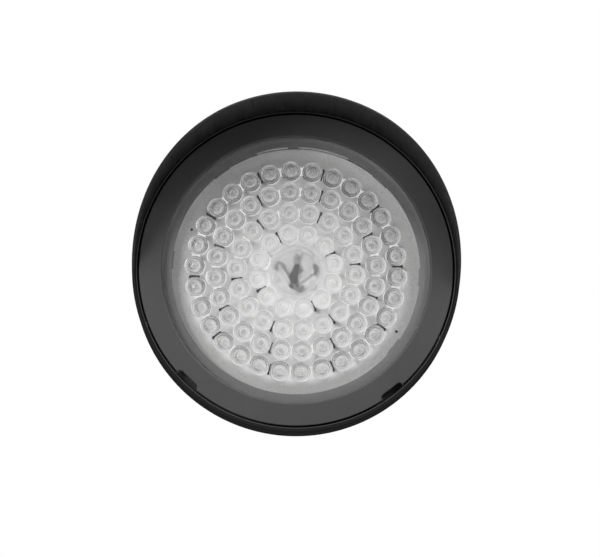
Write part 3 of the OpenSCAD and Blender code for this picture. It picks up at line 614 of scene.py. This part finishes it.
def clear_acrylic():
    """Clear acrylic with painted rings of light and shade. Each lens knows its own place across."""
    optic = Finish("clear_optic")
    across = optic.node("Attribute", {"attribute_name": "across"}, out="Fac")
    side = optic.node("Attribute", {"attribute_name": "side"}, out="Vector")
    radius, _ = optic.lamp_place()
    height = optic.axis("Z") / MM
    inner = 0 - optic.dot(side, optic.vector("NORMALIZE", (optic.flat(),)))
    low_right = optic.dot(side, (0.85, 0, -0.53))
    haze = optic.noise(0.8)
    # The lens as a whole, in painted light and shade: a darker core, a bright lip at the lower
    # right, a pale rim, and darker towards the top and in the outer rings.
    lip = optic.ramp(across, (0.85, 0.0), (0.9, 1.0)) * optic.ramp(
        low_right, (0.4, 0.0), (0.75, 1.0))
    edge = optic.ramp(across, (0.45, 0.0), (0.55, 0.6), (0.7, 0.5), (0.78, 0.2), (0.84, 0.3),
                      (0.92, 0.9)) * optic.ramp(radius / 100, (0.35, 0.12), (0.72, 0.0))
    core = optic.ramp(across, (0.1, 0.16), (0.32, 0.0)) * optic.ramp(
        radius / 100, (0.34, 0.0), (0.42, 1.0), (0.68, 1.0), (0.75, 0.0))
    shade = 0.975 - radius * 0.0047 - height * 0.0016 - core + lip * 0.75 + edge
    # The painted light and shade of its rings, stronger in the outer rings of lenses, and a glow at
    # the lower right.
    plain = optic.ramp(across, *LENS_SHADES) - 0.5
    sided = (optic.ramp(across, *LENS_SIDES) - 0.5) * inner * 1.7
    oval = (optic.ramp(across, *LENS_OVAL) - 0.5) * (inner * inner * 2 - 1)
    speck = (optic.noise(1.1, 4.0, rough=0.65) - 0.5) * 1.3
    glow = optic.ramp(across, (0.3, 0.0), (0.5, 0.12), (0.75, 0.12),
                      (0.8, 0.0)) * low_right.most(0) * 0.5
    wave = across * 44 + haze * 1.5
    ripples = wave.sum("SINE", wave) * optic.ramp(across, (0.3, 0.04), (0.5, 0.1), (0.8, 0.1),
                                                  (0.86, 0.04))
    strength = optic.ramp(radius / 100, (0.3, 0.45), (0.8, 1.0))
    shade = shade + (plain + sided + oval + speck + glow + ripples) * strength
    shade = shade.most(0.02).least(1)
    tint = optic.node("CombineXYZ", None, {0: shade, 1: shade, 2: shade})
    body = optic.surface(Base_Color=tint, Roughness=haze * 0.05 + 0.06, IOR=1.49,
                         Transmission_Weight=0.35)
    optic.done(body, optic.clear(0.93), optic.ray("Is Shadow Ray"))


def frosted():
    """Frosted polycarbonate, thinning out to nothing visible at its edge."""
    cap = Finish("frosted_cap")
    cloud = cap.noise(6)
    radius, _ = cap.lamp_place()
    body = cap.surface(Base_Color=cap.mix(cloud, grey(0.93), grey(0.97)), IOR=1.12,
                       Roughness=cloud * 0.08 + 0.7, Transmission_Weight=0.86,
                       Normal=cap.bump(cap.noise(0.4), 0.01))
    hazy = cap.ramp(radius / 25, (0.6, 1.0), (0.8, 0.0))
    cap.done(cap.clear(1.0), body, cap.ray("Is Camera Ray") * hazy)


flat_glass()
clear_acrylic()
frosted()
# The webs' white is painted light, for the light caught where the lenses meet.
moulded("rib_white", (0.88, 0.88, 0.87), 0.4, dust=0.0)
moulded("package_white", (0.82, 0.82, 0.8), 0.35, dust=0.0)
# Near black painted shade for the joints between modules.
moulded("joint_painted_shade", (0.02, 0.02, 0.02), 0.6, dust=0.0)
print("finishes:", len(finishes))

# %% [markdown]
# The floor is white paint. The lamp needs little light from it, but the eye expects it as pale as
# the world round it, so it glows faintly, and only for the rays that come from the camera.

# %% White floor
def pale_floor():
    white = Finish("floor_white")
    grain = white.mix(white.noise(300), grey(0.8), grey(0.84))
    paint = white.surface(Base_Color=grain, Roughness=0.7)
    seen = white.surface(Base_Color=grain, Roughness=0.7, Emission_Color=grain,
                         Emission_Strength=0.45)
    white.done(paint, seen, white.ray("Is Camera Ray"))


pale_floor()
floor.data.materials.append(finishes["floor_white"])

# %% [markdown]
# Every CAD node already names its material slot in the record, so one loop gives each node the
# finish made for that slot. Two pieces under the cap are exceptions when they are rounded below:
# the board's screws are painted with the board's white, which stands in for the light that the
# cap's frosting scatters over them, so no dark spot shows there, and the terminals take the leads'
# painted greys.

# %% Finishes on the CAD nodes
slot_of = {}
for part in frame["record"]["subparts"]:
    slot = slot_of[part["node"]] = part["material_slot"]
    mesh = nodes[part["node"]].data
    mesh.materials.clear()
    mesh.materials.append(finishes[slot])
# Painted light: the steel screws take the board's white, for the frosting's scattered light over
# them.
slot_of["board_screws"] = "white_board"
slot_of["lead_terminals"] = "lead_jacket"
print("finishes on", len(slot_of), "nodes")

# %% [markdown]
# Real castings, turned rings and screws have no razor edges: a mould or a tool leaves a small
# radius, and that radius is what catches the light. The CAD meshes come as loose triangles with
# sharp edges. A copy of each is welded, and only the edges that turn by more than 35 degrees are
# rounded, by an amount that suits how the piece is made. The bezel's notches have larger corners.

# %% Pieces and soft edges
SHARP = math.radians(35)


def piece(name, mesh, finish=None, body="head", instead_of=(), crease=38):
    """Puts a mesh in the scene on its body, smooth except where it turns sharply."""
    made = placed(name, mesh)
    if finish:
        mesh.materials.clear()
        mesh.materials.append(finishes[finish])
    mesh.shade_smooth()
    mesh.set_sharp_from_angle(angle=math.radians(crease))
    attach(made, body)
    if instead_of:
        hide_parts(*instead_of)
    return made


def softened(node, width, body="head", tall=None):
    """A copy of a CAD node with its sharp edges rounded. Edges that tall picks get 3 times that."""
    source = nodes[node].data
    bm = bmesh.new()
    corners = [bm.verts.new(v.co) for v in source.vertices]
    for face in source.polygons:
        bm.faces.new([corners[i] for i in face.vertices])
    bmesh.ops.remove_doubles(bm, verts=bm.verts, dist=2e-6)
    for picks, share, segments in ((tall, 3.0, 3), (lambda edge: True, 1.0, 2)):
        if picks:
            sharp = [e for e in bm.edges if len(e.link_faces) == 2 and picks(e)
                     and e.calc_face_angle() > SHARP]
            bmesh.ops.bevel(bm, geom=sharp, offset=width * share * MM, segments=segments,
                            profile=0.5, affect="EDGES", clamp_overlap=False)
    made = piece(node + "_soft", meshed(bm, node + "_soft", outwards=False), slot_of[node], body,
                 (node,), crease=50)
    made.modifiers.new("flat faces stay flat", "WEIGHTED_NORMAL").keep_sharp = True


def notch_corner(edge):
    along = edge.verts[1].co - edge.verts[0].co
    return abs(along.y) > 0.002 and abs(along.y) > 0.9 * along.length


softened("bezel_ring", 0.7, tall=notch_corner)
head_edges = {"lens_gasket": 0.25, "housing": 0.6, "rear_cover": 0.6, "cover_screws": 0.3,
              "upper_knuckle": 0.7, "arm_screws": 0.3, "breather_vent": 0.3, "bezel_screws": 0.25,
              "lead_terminals": 0.3, "led_driver": 0.8, "surge_protector": 0.6,
              "board_screws": 0.15}
base_edges = {"lower_knuckle": 0.7, "knuckle_bolt": 0.4, "knuckle_nut": 0.35, "knuckle_washer": 0.2,
              "lock_nut": 0.35}
for node, width in head_edges.items():
    softened(node, width)
for node, width in base_edges.items():
    softened(node, width, "base")
print("softened", 1 + len(head_edges) + len(base_edges), "nodes")
# %% [markdown]
# Most of the lamp was turned or spun, and the model is made the same way: a section of (radius,
# forwards) points goes round the lamp's axis. A section may carry more numbers at each point,
# which the mesh keeps as marks for a recipe to read.

# %% Spun shapes
def spun(section, steps=96, marks=()):
    """A mesh turned about the lamp's axis from (radius, forwards, marks) points in millimetres."""
    bm = bmesh.new()
    layers = [bm.verts.layers.float.new(name) for name in marks]
    rings = []
    for i in range(steps):
        ring = [bm.verts.new(polar(point[0], 360 * i / steps, point[1])) for point in section]
        for vert, point in zip(ring, section):
            for layer, mark in zip(layers, point[2:]):
                vert[layer] = mark
        rings.append(ring)
    skin(bm, rings)
    bmesh.ops.remove_doubles(bm, verts=bm.verts, dist=WELD)
    return meshed(bm, "spun")


# %% [markdown]
# The rim and visor are one spun and trimmed piece. Seen from the side the visor's edge sweeps from
# the rim up to the brow, and seen along the lamp it is a plain sleeve. So the shape follows a rule:
# turn the rim's section once round, then pull its front lip forwards by an amount that depends only
# on height. The lip carries a mark (reach) that says how much it follows, and its inner half
# (inset) may never dip behind the rim's face. At the back the sleeve rolls in until it hugs
# the housing, and its outer edge is rounded over.

# %% Rim section
RIM_LEN, VISOR_WALL, LIP = 34.0, 2.2, 1.1
RIM_HUG, BACK_ROUND = 122.74, 1.4


def rim_section():
    """(radius, forwards, reach, inset) from the back of the bore round the lip to the back."""
    bore, lip_r, back_r = rim_r - VISOR_WALL, rim_r - LIP, rim_r - BACK_ROUND
    points = [(r, f, 0, 0) for r, f in (
        (RIM_HUG, -RIM_LEN), (RIM_HUG, 3 - RIM_LEN), (RIM_IN, 4 - RIM_LEN), (RIM_IN, -2.2),
        (RIM_IN + 0.15, -1.7), (RIM_IN + 0.55, -1.5), (bore - 0.5, -1.5), (bore, -LIP))]
    points += [(bore, -LIP, share, 1) for share in (0.0, 0.33, 0.66)]
    for angle in range(180, -1, -30):
        a = math.radians(angle)
        points.append((lip_r + LIP * math.cos(a), LIP * math.sin(a) - LIP, 1, int(angle > 90)))
    points += [(rim_r, -LIP - 0.01, share, 0) for share in (0.66, 0.33)]
    for angle in range(0, -91, -30):
        a = math.radians(angle)
        points.append((back_r + BACK_ROUND * math.cos(a),
                       BACK_ROUND * math.sin(a) + BACK_ROUND - RIM_LEN, 0, 0))
    return points


print("rim section", len(rim_section()), "points")

# %% [markdown]
# Geometry Nodes do the pulling. The visor's edge in the side view is a bezier from its brow down to
# where it runs out in the rim, and a curve node holds it as a share of the full length by height.

# %% Visor recipe
visor_len = (rim_front_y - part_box("visor_rim")[0].y) / MM
VISOR_EDGE = [(visor_len, 112.0), (62.0, 79.5), (33.0, 26.9), (0.0, -8.0)]


def bezier(points, t):
    return [(1 - t) ** 3 * a + 3 * (1 - t) ** 2 * t * b + 3 * (1 - t) * t * t * c + t ** 3 * d
            for a, b, c, d in zip(*points)]


def visor_recipe():
    recipe = Recipe("visor", Length="Float", Lowest="Float", Highest="Float", Finish="Material")
    place = recipe.add("GeometryNodeInputPosition")
    across, depth, up = [recipe.add("ShaderNodeSeparateXYZ", None, {0: place}, axis)
                         for axis in "XYZ"]
    height = up / MM
    share = (height - recipe.given("Lowest")) / (recipe.given("Highest") - recipe.given("Lowest"))
    line = [bezier(VISOR_EDGE, 1 - i / 14) for i in range(15)]
    low, high = line[0][1], line[-1][1]
    points = [((up - low) / (high - low), out / visor_len) for out, up in line]
    curve = recipe.add("ShaderNodeFloatCurve", {"curve": points},
                       {"Value": share.most(0).least(1)})
    reach, inset = [recipe.add("GeometryNodeInputNamedAttribute", {"data_type": "FLOAT"},
                               {"Name": name}) for name in ("reach", "inset")]
    forwards = (rim_front_y - depth) / MM + curve * reach * recipe.given("Length")
    forwards = forwards + inset * (0 - forwards).most(0)
    spot = recipe.add("ShaderNodeCombineXYZ", None, {
        "X": across, "Y": rim_front_y - forwards * MM, "Z": height * MM})
    recipe.done(recipe.add("GeometryNodeSetPosition", None,
                           {"Geometry": recipe.given("Geometry"), "Position": spot}))
    return recipe


# %% [markdown]
# Four small set screws clamp the rim on the housing. Their holes are drilled, as on the real rim:
# a Boolean takes round bars out of the finished sleeve.

# %% Visor and rim
SCREW_HOLE_R = 2.75


def tube(radius, start, end, steps=24):
    """A closed round bar from start to end."""
    axis = end - start
    turn = axis.to_track_quat("Z", "Y").to_matrix().to_4x4()
    bm = bmesh.new()
    bmesh.ops.create_cone(bm, cap_ends=True, segments=steps, radius1=radius * MM,
                          radius2=radius * MM, depth=axis.length,
                          matrix=Matrix.Translation((start + end) / 2) @ turn)
    return meshed(bm, "tube", outwards=False)


def drilled(mesh, holes):
    """The mesh with round holes: (radius, start, end) each."""
    cutter = bmesh.new()
    for hole in holes:
        cutter.from_mesh(tube(*hole))
    drill = placed("drill", meshed(cutter, "drill", outwards=False))
    work = placed("work", mesh)
    cut = work.modifiers.new("holes", "BOOLEAN")
    cut.operation, cut.object, cut.solver = "DIFFERENCE", drill, "EXACT"
    made = bpy.data.meshes.new_from_object(
        work.evaluated_get(bpy.context.evaluated_depsgraph_get()))
    bpy.data.objects.remove(work)
    bpy.data.objects.remove(drill)
    return made


visor = visor_recipe().cook("visor", spun(rim_section(), 240, ("reach", "inset")),
                            Length=visor_len, Lowest=VISOR_EDGE[3][1],
                            Highest=VISOR_EDGE[0][1], Finish=finishes["visor_paint"])
screw_low, screw_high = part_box("rim_set_screws")
screw_forwards = (rim_front_y - (screw_low.y + screw_high.y) / 2) / MM
visor = drilled(visor, [(SCREW_HOLE_R, *[polar(r, angle, screw_forwards)
                                         for r in (RIM_IN - 2, rim_r + 2)])
                        for angle in (45, 135, 225, 315)])
piece("visor_and_rim", visor, "visor_paint", instead_of=("visor_rim",), crease=32)
print("visor", len(visor.polygons), "faces, reaches", round(visor_len, 1), "mm forwards")

# %% [markdown]
# The pane is a flat disc of tempered glass whose edge is ground to a small bevel. It is made again
# here with a hair's breadth between it and the seal, because two faces in exactly the same plane
# make a render flicker between them.

# %% Glass pane
PANE_R, GLASS_FRONT, GLASS_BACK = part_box("lens_glass")[1].x / MM, -5.02, -8.96
pane = spun([(0, GLASS_FRONT), (PANE_R - 0.5, GLASS_FRONT), (PANE_R - 0.02, GLASS_FRONT - 0.5),
             (PANE_R - 0.02, GLASS_BACK + 0.5), (PANE_R - 0.5, GLASS_BACK), (0, GLASS_BACK)], 120)
piece("glass_pane", pane, "clear_glass", instead_of=("lens_glass",), crease=30)
print("pane radius", round(PANE_R, 1), "mm,", len(pane.polygons), "faces")

# %% [markdown]
# Each lens is a collimator: a clear cone that catches the emitter's light and throws it forwards.
# Its section is known from any such optic: a pocket over the emitter, a sloping outer wall that
# mirrors by total reflection, a flat top with fine moulding steps, and a well with a small dome in
# the middle. A thin round flange reaches out until it almost meets the next lens. The section
# catches the highlights, and the painted rings do the rest.

# %% Lens section
BOARD_BACK = (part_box("led_board")[0].y - rim_front_y) / MM
LENS_R, LENS_H, LENS_SPAN = 7.75, 7.0, 8.6
FLANGE_R, HAIR = 8.13, 0.02


def lens_section(flange):
    """The lens's outline from its axis round the wall and back, with a flange of this radius."""
    edge = min(LENS_R, flange - 0.06)
    return [
        (0, 1.7), (2.45, 1.7), (2.6, 1.5), (2.6, 0.06), (4.8, 0.06), (6.2, 2.8), (7.1, 4.6),
        (edge - 0.15, 5.6), (flange, 5.75), (flange, 6.2), (edge, 6.3), (edge, 6.65),
        (edge - 0.12, 6.9), (edge - 0.35, LENS_H), (edge - 0.6, 6.85), (edge - 0.75, 6.5),
        (6.6, 6.5), (6.4, 6.7), (6.15, 6.75), (5.9, 6.6), (5.7, 6.45), (5.25, 6.5),
        (5.0, 6.7), (4.75, 6.7), (4.5, 6.55), (4.3, 6.55), (4.1, 6.85), (3.85, LENS_H), (3.6, 6.85),
        (3.45, 6.3), (3.35, 5.6), (3.0, 5.55), (2.2, 5.8), (1.2, 5.95), (0, 6.0)]


def turned(section, steps):
    """A closed piece turned about its own axis, which points at the viewer, in millimetres."""
    bm = bmesh.new()
    across, side = bm.verts.layers.float.new("across"), bm.verts.layers.float_vector.new("side")
    rings = []
    for a in [2 * math.pi * i / steps for i in range(steps)]:
        outwards = Vector((math.cos(a), 0, math.sin(a)))
        ring = [bm.verts.new((r * math.cos(a) * MM, -h * MM, r * math.sin(a) * MM))
                for r, h in section]
        for vert, (r, _) in zip(ring, section):
            vert[across], vert[side] = r / LENS_SPAN, outwards
        rings.append(ring)
    skin(bm, rings, open_by=1)
    bmesh.ops.remove_doubles(bm, verts=bm.verts, dist=WELD)
    return meshed(bm, "turned")


def bar(length, width, low, high, round_by=0.2):
    """A small block, long towards the lamp's rim, with rounded edges."""
    bm = bmesh.new()
    bmesh.ops.create_cube(bm, size=1)
    for vert in bm.verts:
        vert.co = Vector((vert.co.x * length, -(low + high) / 2 + vert.co.y * (high - low),
                          vert.co.z * width)) * MM
    bmesh.ops.bevel(bm, geom=bm.edges[:], offset=round_by * MM, segments=2, profile=0.5,
                    affect="EDGES")
    return meshed(bm, "bar", outwards=False)


print("board's face", round(-BOARD_BACK, 2), "mm behind the rim's front")

# %% [markdown]
# Rings of equal things are what Geometry Nodes are best at. The recipe below lays points round a
# circle, stands a copy of one piece on each, and can leave every third place empty, which is how
# the ribs inside the three-up modules skip the joints between modules. Most pieces turn to face
# outwards. The lenses don't, so that each can keep a mark of which way its own sides face.

# %% Ring recipe
def ring_recipe():
    recipe = Recipe("ring of pieces", Piece="Object", Count="Int", Radius="Float", Start="Float",
                    Pitch="Float", Back="Float", Gaps="Float", Turned="Float", Finish="Material")
    index = recipe.add("GeometryNodeInputIndex")
    angle = (recipe.given("Start") - index * recipe.given("Pitch")) * (math.pi / 180)
    radius = recipe.given("Radius") * MM
    spot = recipe.add("ShaderNodeCombineXYZ", None, {
        "X": radius * angle.sum("COSINE", angle), "Y": rim_front_y + recipe.given("Back") * MM,
        "Z": radius * angle.sum("SINE", angle)})
    points = recipe.add("GeometryNodePoints", None,
                        {"Count": recipe.given("Count"), "Position": spot})
    third = index.sum("FLOORED_MODULO", index, 3).under(0.5)
    stays = (1 - third * recipe.given("Gaps")).over(0.5)
    turn = recipe.add("ShaderNodeCombineXYZ", None, {"Y": (0 - angle) * recipe.given("Turned")})
    thing = recipe.add("GeometryNodeObjectInfo", None, {"Object": recipe.given("Piece")},
                       "Geometry")
    recipe.done(recipe.add("GeometryNodeInstanceOnPoints", None, {
        "Points": points, "Selection": stays, "Instance": thing, "Rotation": turn}))
    return recipe


ring_of = ring_recipe()


def ring_row(thing, finish, radius, count, start, pitch, gaps=0.0, turned=1.0):
    """One ring of a piece, as a plain mesh."""
    master = placed("master", thing)
    made = ring_of.cook("row", Piece=master, Count=count, Radius=radius, Start=start, Pitch=pitch,
                        Back=BOARD_BACK, Gaps=gaps, Turned=turned, Finish=finishes[finish])
    bpy.data.objects.remove(master)
    return made


# %% [markdown]
# The lenses are moulded three to a module. Inside a module a thin web joins neighbours: it is
# narrow between them and forks round their walls, and its white is painted light, for the light
# caught where the lenses meet. Between modules there is an open joint with a peg that locates them.
# A dark bar and the peg stand in for its shade, so it reads as a short dark line of painted shade.

# %% Lens rings
RIB_REACH, RIB_LOW, RIB_HIGH = 4.2, 5.4, 6.9
JOINT_LONG, PEG_AT, PEG_HIGH = 7.6, 3.9, 7.0


def joined(name, meshes):
    """Several meshes as one, each with its own finish kept."""
    bm = bmesh.new()
    keep = []
    for mesh in meshes:
        if mesh.materials[0] not in keep:
            keep.append(mesh.materials[0])
        first = len(bm.faces)
        bm.from_mesh(mesh)
        bm.faces.ensure_lookup_table()
        for face in bm.faces[first:]:
            face.material_index = keep.index(mesh.materials[0])
    made = meshed(bm, name, outwards=False)
    for material in keep:
        made.materials.append(material)
    return made


def web(to_next):
    """The rib between two lenses of a module: narrow between them, forked at both ends."""
    wall, fork = min(LENS_R, to_next) - 0.25, RIB_REACH * 0.66
    along = [-RIB_REACH + RIB_REACH * i / 5 for i in range(11)]
    side = [(x, to_next - math.sqrt(wall ** 2 - x * x)) for x in along]
    outline = side + [(fork, 0)] + [(x, -z) for x, z in reversed(side)] + [(-fork, 0)]
    bm = bmesh.new()
    base = bm.faces.new([bm.verts.new((x * MM, -RIB_LOW * MM, z * MM)) for x, z in outline])
    top = bmesh.ops.extrude_face_region(bm, geom=[base])["geom"]
    bmesh.ops.translate(bm, verts=[v for v in top if isinstance(v, bmesh.types.BMVert)],
                        vec=(0, (RIB_LOW - RIB_HIGH) * MM, 0))
    return meshed(bm, "web")


def joint_parts():
    """A dark bar that stands in for the shade of the open joint, and the locating peg at its outer
    end.
    """
    peg = turned([(0, 0.1), (0.8, 0.1), (0.8, PEG_HIGH - 0.2), (0.6, PEG_HIGH), (0, PEG_HIGH)], 12)
    peg.transform(Matrix.Translation((PEG_AT * MM, 0, 0)))
    return bar(JOINT_LONG, 0.8, 0.1, 6.95), peg


for number, (radius, count, first) in enumerate(PLACES, 1):
    pitch = 360 / count
    joint_at = 90 - first * pitch
    to_next = radius * math.sin(math.pi / count)
    lens = turned(lens_section(min(FLANGE_R, to_next - HAIR)), 40)
    lenses = ring_row(lens, "clear_optic", radius, count, 90 - pitch / 2, pitch, turned=0.0)
    piece(f"lens_ring_{number}", lenses, instead_of=(f"optics_ring_{number}",), crease=30)
    ribs = ring_row(web(to_next), "rib_white", radius, count, joint_at, pitch, gaps=1.0)
    piece(f"rib_ring_{number}", ribs)
    rows = [ring_row(thing, "joint_painted_shade", radius, count // 3, joint_at, 3 * pitch)
            for thing in joint_parts()]
    piece(f"joint_ring_{number}", joined("joints", rows))
    print("ring", number, count, "lenses,", len(lenses.polygons), "faces")

# %% [markdown]
# Under each lens sits an emitter: a white package with a low dome of pale yellow phosphor.
# Through the lens only a soft spot of it shows, so a rounded block and a small turned dome do.

# %% Emitters
package = bar(3.3, 3.3, 0.02, 0.7, 0.15)
dome = turned([(1.45, 0.5), (1.4, 0.85), (1.15, 1.1), (0.75, 1.25), (0, 1.3)], 16)
rows = [ring_row(thing, finish, radius, count, 90 - 180 / count, 360 / count)
        for radius, count, _ in PLACES
        for thing, finish in ((package, "package_white"), (dome, "phosphor"))]
piece("emitters", joined("emitters", rows), instead_of=("led_chips",))
print("emitters", sum(count for _, count, _ in PLACES))

# %% [markdown]
# A frosted cap covers the middle of the board, where the supply leads come up through their hole
# and fan out to three terminals. It has a soft shoulder, and its wall thins towards the foot of
# the skirt. The frosting blurs what lies under it more, the deeper it lies. The cap casts no shadow
# here: a ray is given up after a few clear surfaces, and a dark arc would show at the cap's edge.

# %% Centre cap
CAP_R, CAP_HIGH, CAP_SHOULDER = 21.35, 6.2, 9
CAP_WALL, FOOT_WALL, CAP_GAP = 1.0, 0.15, 0.06
cap_back = CAP_GAP - BOARD_BACK
cap_section = []
for outer, height, degrees in ((CAP_R, CAP_HIGH, range(0, 91, 10)),
                               (CAP_R - FOOT_WALL, CAP_HIGH - CAP_WALL, range(90, -1, -10))):
    arc = [(outer - CAP_SHOULDER + CAP_SHOULDER * math.cos(math.radians(angle)),
            cap_back + height * math.sin(math.radians(angle))) for angle in degrees]
    middle = [(0, cap_back + height)]
    cap_section += arc + middle if outer == CAP_R else middle + arc
cap = spun(cap_section, 96)
dome_cap = piece("centre_cap", cap, "frosted_cap", instead_of=("center_cover",), crease=40)
dome_cap.visible_shadow = False
print("cap", len(cap.polygons), "faces")

# %% [markdown]
# A lead bends as the hand left it, so it is drawn as a few points with a radius at each. A smooth
# curve runs through the points, and a ring of corners is carried along it without twisting.

# %% Swept cords
def swept(path, steps=14):
    """A closed round cord through (across, up, forwards, radius) points, in millimetres."""
    line = []
    spots = [at_head(*p[:3]) for p in path]
    for i in range(len(path) - 1):
        a, b, c, d = [spots[min(max(0, k), len(path) - 1)] for k in range(i - 1, i + 3)]
        for t in (0.0, 0.25, 0.5, 0.75):
            line.append((0.5 * (2 * b + (c - a) * t + (2 * a - 5 * b + 4 * c - d) * t * t
                                + (3 * b - a - 3 * c + d) * t ** 3),
                         path[i][3] * (1 - t) + path[i + 1][3] * t))
    line.append((spots[-1], path[-1][3]))
    bm = bmesh.new()
    side, rings = Vector((1, 0, 0)), []
    for i, (spot, radius) in enumerate(line):
        ahead = (line[min(i + 1, len(line) - 1)][0] - line[max(i - 1, 0)][0]).normalized()
        side = (side - ahead * side.dot(ahead)).normalized()
        other = ahead.cross(side)
        rings.append([bm.verts.new(spot + (side * math.cos(a) + other * math.sin(a)) * radius * MM)
                      for a in [2 * math.pi * k / steps for k in range(steps)]])
    skin(bm, rings, loop=False)
    bm.faces.new(rings[0])
    bm.faces.new(rings[-1])
    return meshed(bm, "swept")


# %% [markdown]
# The three leads share a dark rubber boot where they leave the hole. It leans up until it almost
# touches the cap, so it shows as the darkest mark. Round it the leads themselves show: a hook
# below it, a short column that goes up from it, a point on its right flank, an arch on the left
# and a short bend on the right. Their black is painted as two greys, paler than the boot, which
# stand in for the light that the frosting scatters over them.

# %% Lead boot
cords = {
    "black_rubber": [
        [(0.4, 5.8, 2.0, 1.7), (0.4, 4.2, 2.4, 2.3), (-0.6, -0.8, 2.2, 2.9),
         (-1.9, -5.0, 2.1, 2.9), (-1.5, -7.6, 2.4, 2.3), (-0.8, -10.0, 2.4, 1.7)]],
    "lead_painted_haze_dark": [
        [(-0.6, -9.6, 2.4, 1.5), (-0.1, -11.4, 2.6, 1.5), (1.3, -13.4, 2.6, 1.5),
         (3.4, -14.0, 2.6, 1.6), (5.0, -12.4, 2.6, 1.5), (5.6, -10.3, 2.4, 1.0)],
        [(0.2, 1.0, 2.2, 1.9), (3.0, 1.7, 2.0, 1.2), (5.3, 2.0, 1.6, 0.6)],
        [(13.4, 6.4, 2.4, 1.2), (14.8, 4.8, 2.6, 1.6), (15.2, 1.6, 2.6, 1.6),
         (14.2, -1.6, 2.4, 1.1)]],
    "lead_painted_haze_pale": [
        [(0.2, 14.0, 2.4, 1.0), (0.3, 11.8, 2.4, 1.5), (0.35, 8.5, 2.4, 1.8),
         (0.4, 5.0, 2.2, 1.9)],
        [(-16.2, 0.8, 2.6, 1.0), (-15.6, 4.2, 3.0, 1.2), (-13.3, 6.2, 3.2, 1.3),
         (-10.9, 4.6, 3.2, 1.2), (-9.2, 1.2, 3.0, 1.1), (-5.4, -3.0, 2.6, 1.0)]]}
strands = []
for finish, paths in cords.items():
    for path in paths:
        strand = swept([(x, up, cap_back + high, radius) for x, up, high, radius in path])
        strand.materials.append(finishes[finish])
        strands.append(strand)
piece("lead_boot", joined("boot", strands))
print("lead boot and", len(strands) - 1, "lengths of lead")

# %% [markdown]
# The stem carries a half inch straight pipe thread of 14 turns to the inch. A thread is a rule too:
# at each place, how far round plus how far along decides the depth. Crests and roots are a little
# flat, as rolled threads are, and the thread fades out at the chamfered end.

# %% Threaded stem
STEM_R, STEM_BORE, STEM_PITCH, THREAD_DEEP = 10.5, 7.5, 25.4 / 14, 1.05
SHANK_END, NECK_DEEP, END_CHAMFER = -2.6, 1.4, 1.2
stem_low, stem_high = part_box("threaded_stem")


def stem_radius(along, turn):
    """Outer radius in millimetres at a place along the stem and a turn from 0 to 1."""
    if along < SHANK_END:
        return STEM_R
    if along < 0:
        return STEM_R - NECK_DEEP
    wave = (along / STEM_PITCH - turn) % 1.0
    tooth = min(1.0, max(0.0, (abs(wave - 0.5) * 2 - 0.12) / 0.76))
    chamfer = max(0.0, along - (stem_high.y / MM - END_CHAMFER))
    return min(STEM_R - THREAD_DEEP * tooth, STEM_R - chamfer)


def stem_mesh(steps=64):
    back, end = stem_low.y / MM, stem_high.y / MM
    along = [back, SHANK_END - 0.02, SHANK_END + 0.02, -0.02]
    count = int(end / (STEM_PITCH / 9))
    along += [0.02 + (end - 0.02) * i / count for i in range(count + 1)]
    rows = [[(stem_radius(place, i / steps), place) for i in range(steps)] for place in along]
    for radius, place in ((STEM_BORE + 0.5, end), (STEM_BORE, end - 0.5), (STEM_BORE, back)):
        rows.append([(radius, place)] * steps)
    bm = bmesh.new()
    turns = [2 * math.pi * i / steps for i in range(steps)]
    skin(bm, [[bm.verts.new((r * math.cos(a) * MM, y * MM, r * math.sin(a) * MM))
               for a, (r, y) in zip(turns, row)] for row in rows])
    return meshed(bm, "stem")


stem = stem_mesh()
piece("stem_with_thread", stem, "zinc_steel", "base", ("threaded_stem",), crease=40)
print("stem", len(stem.polygons), "faces")
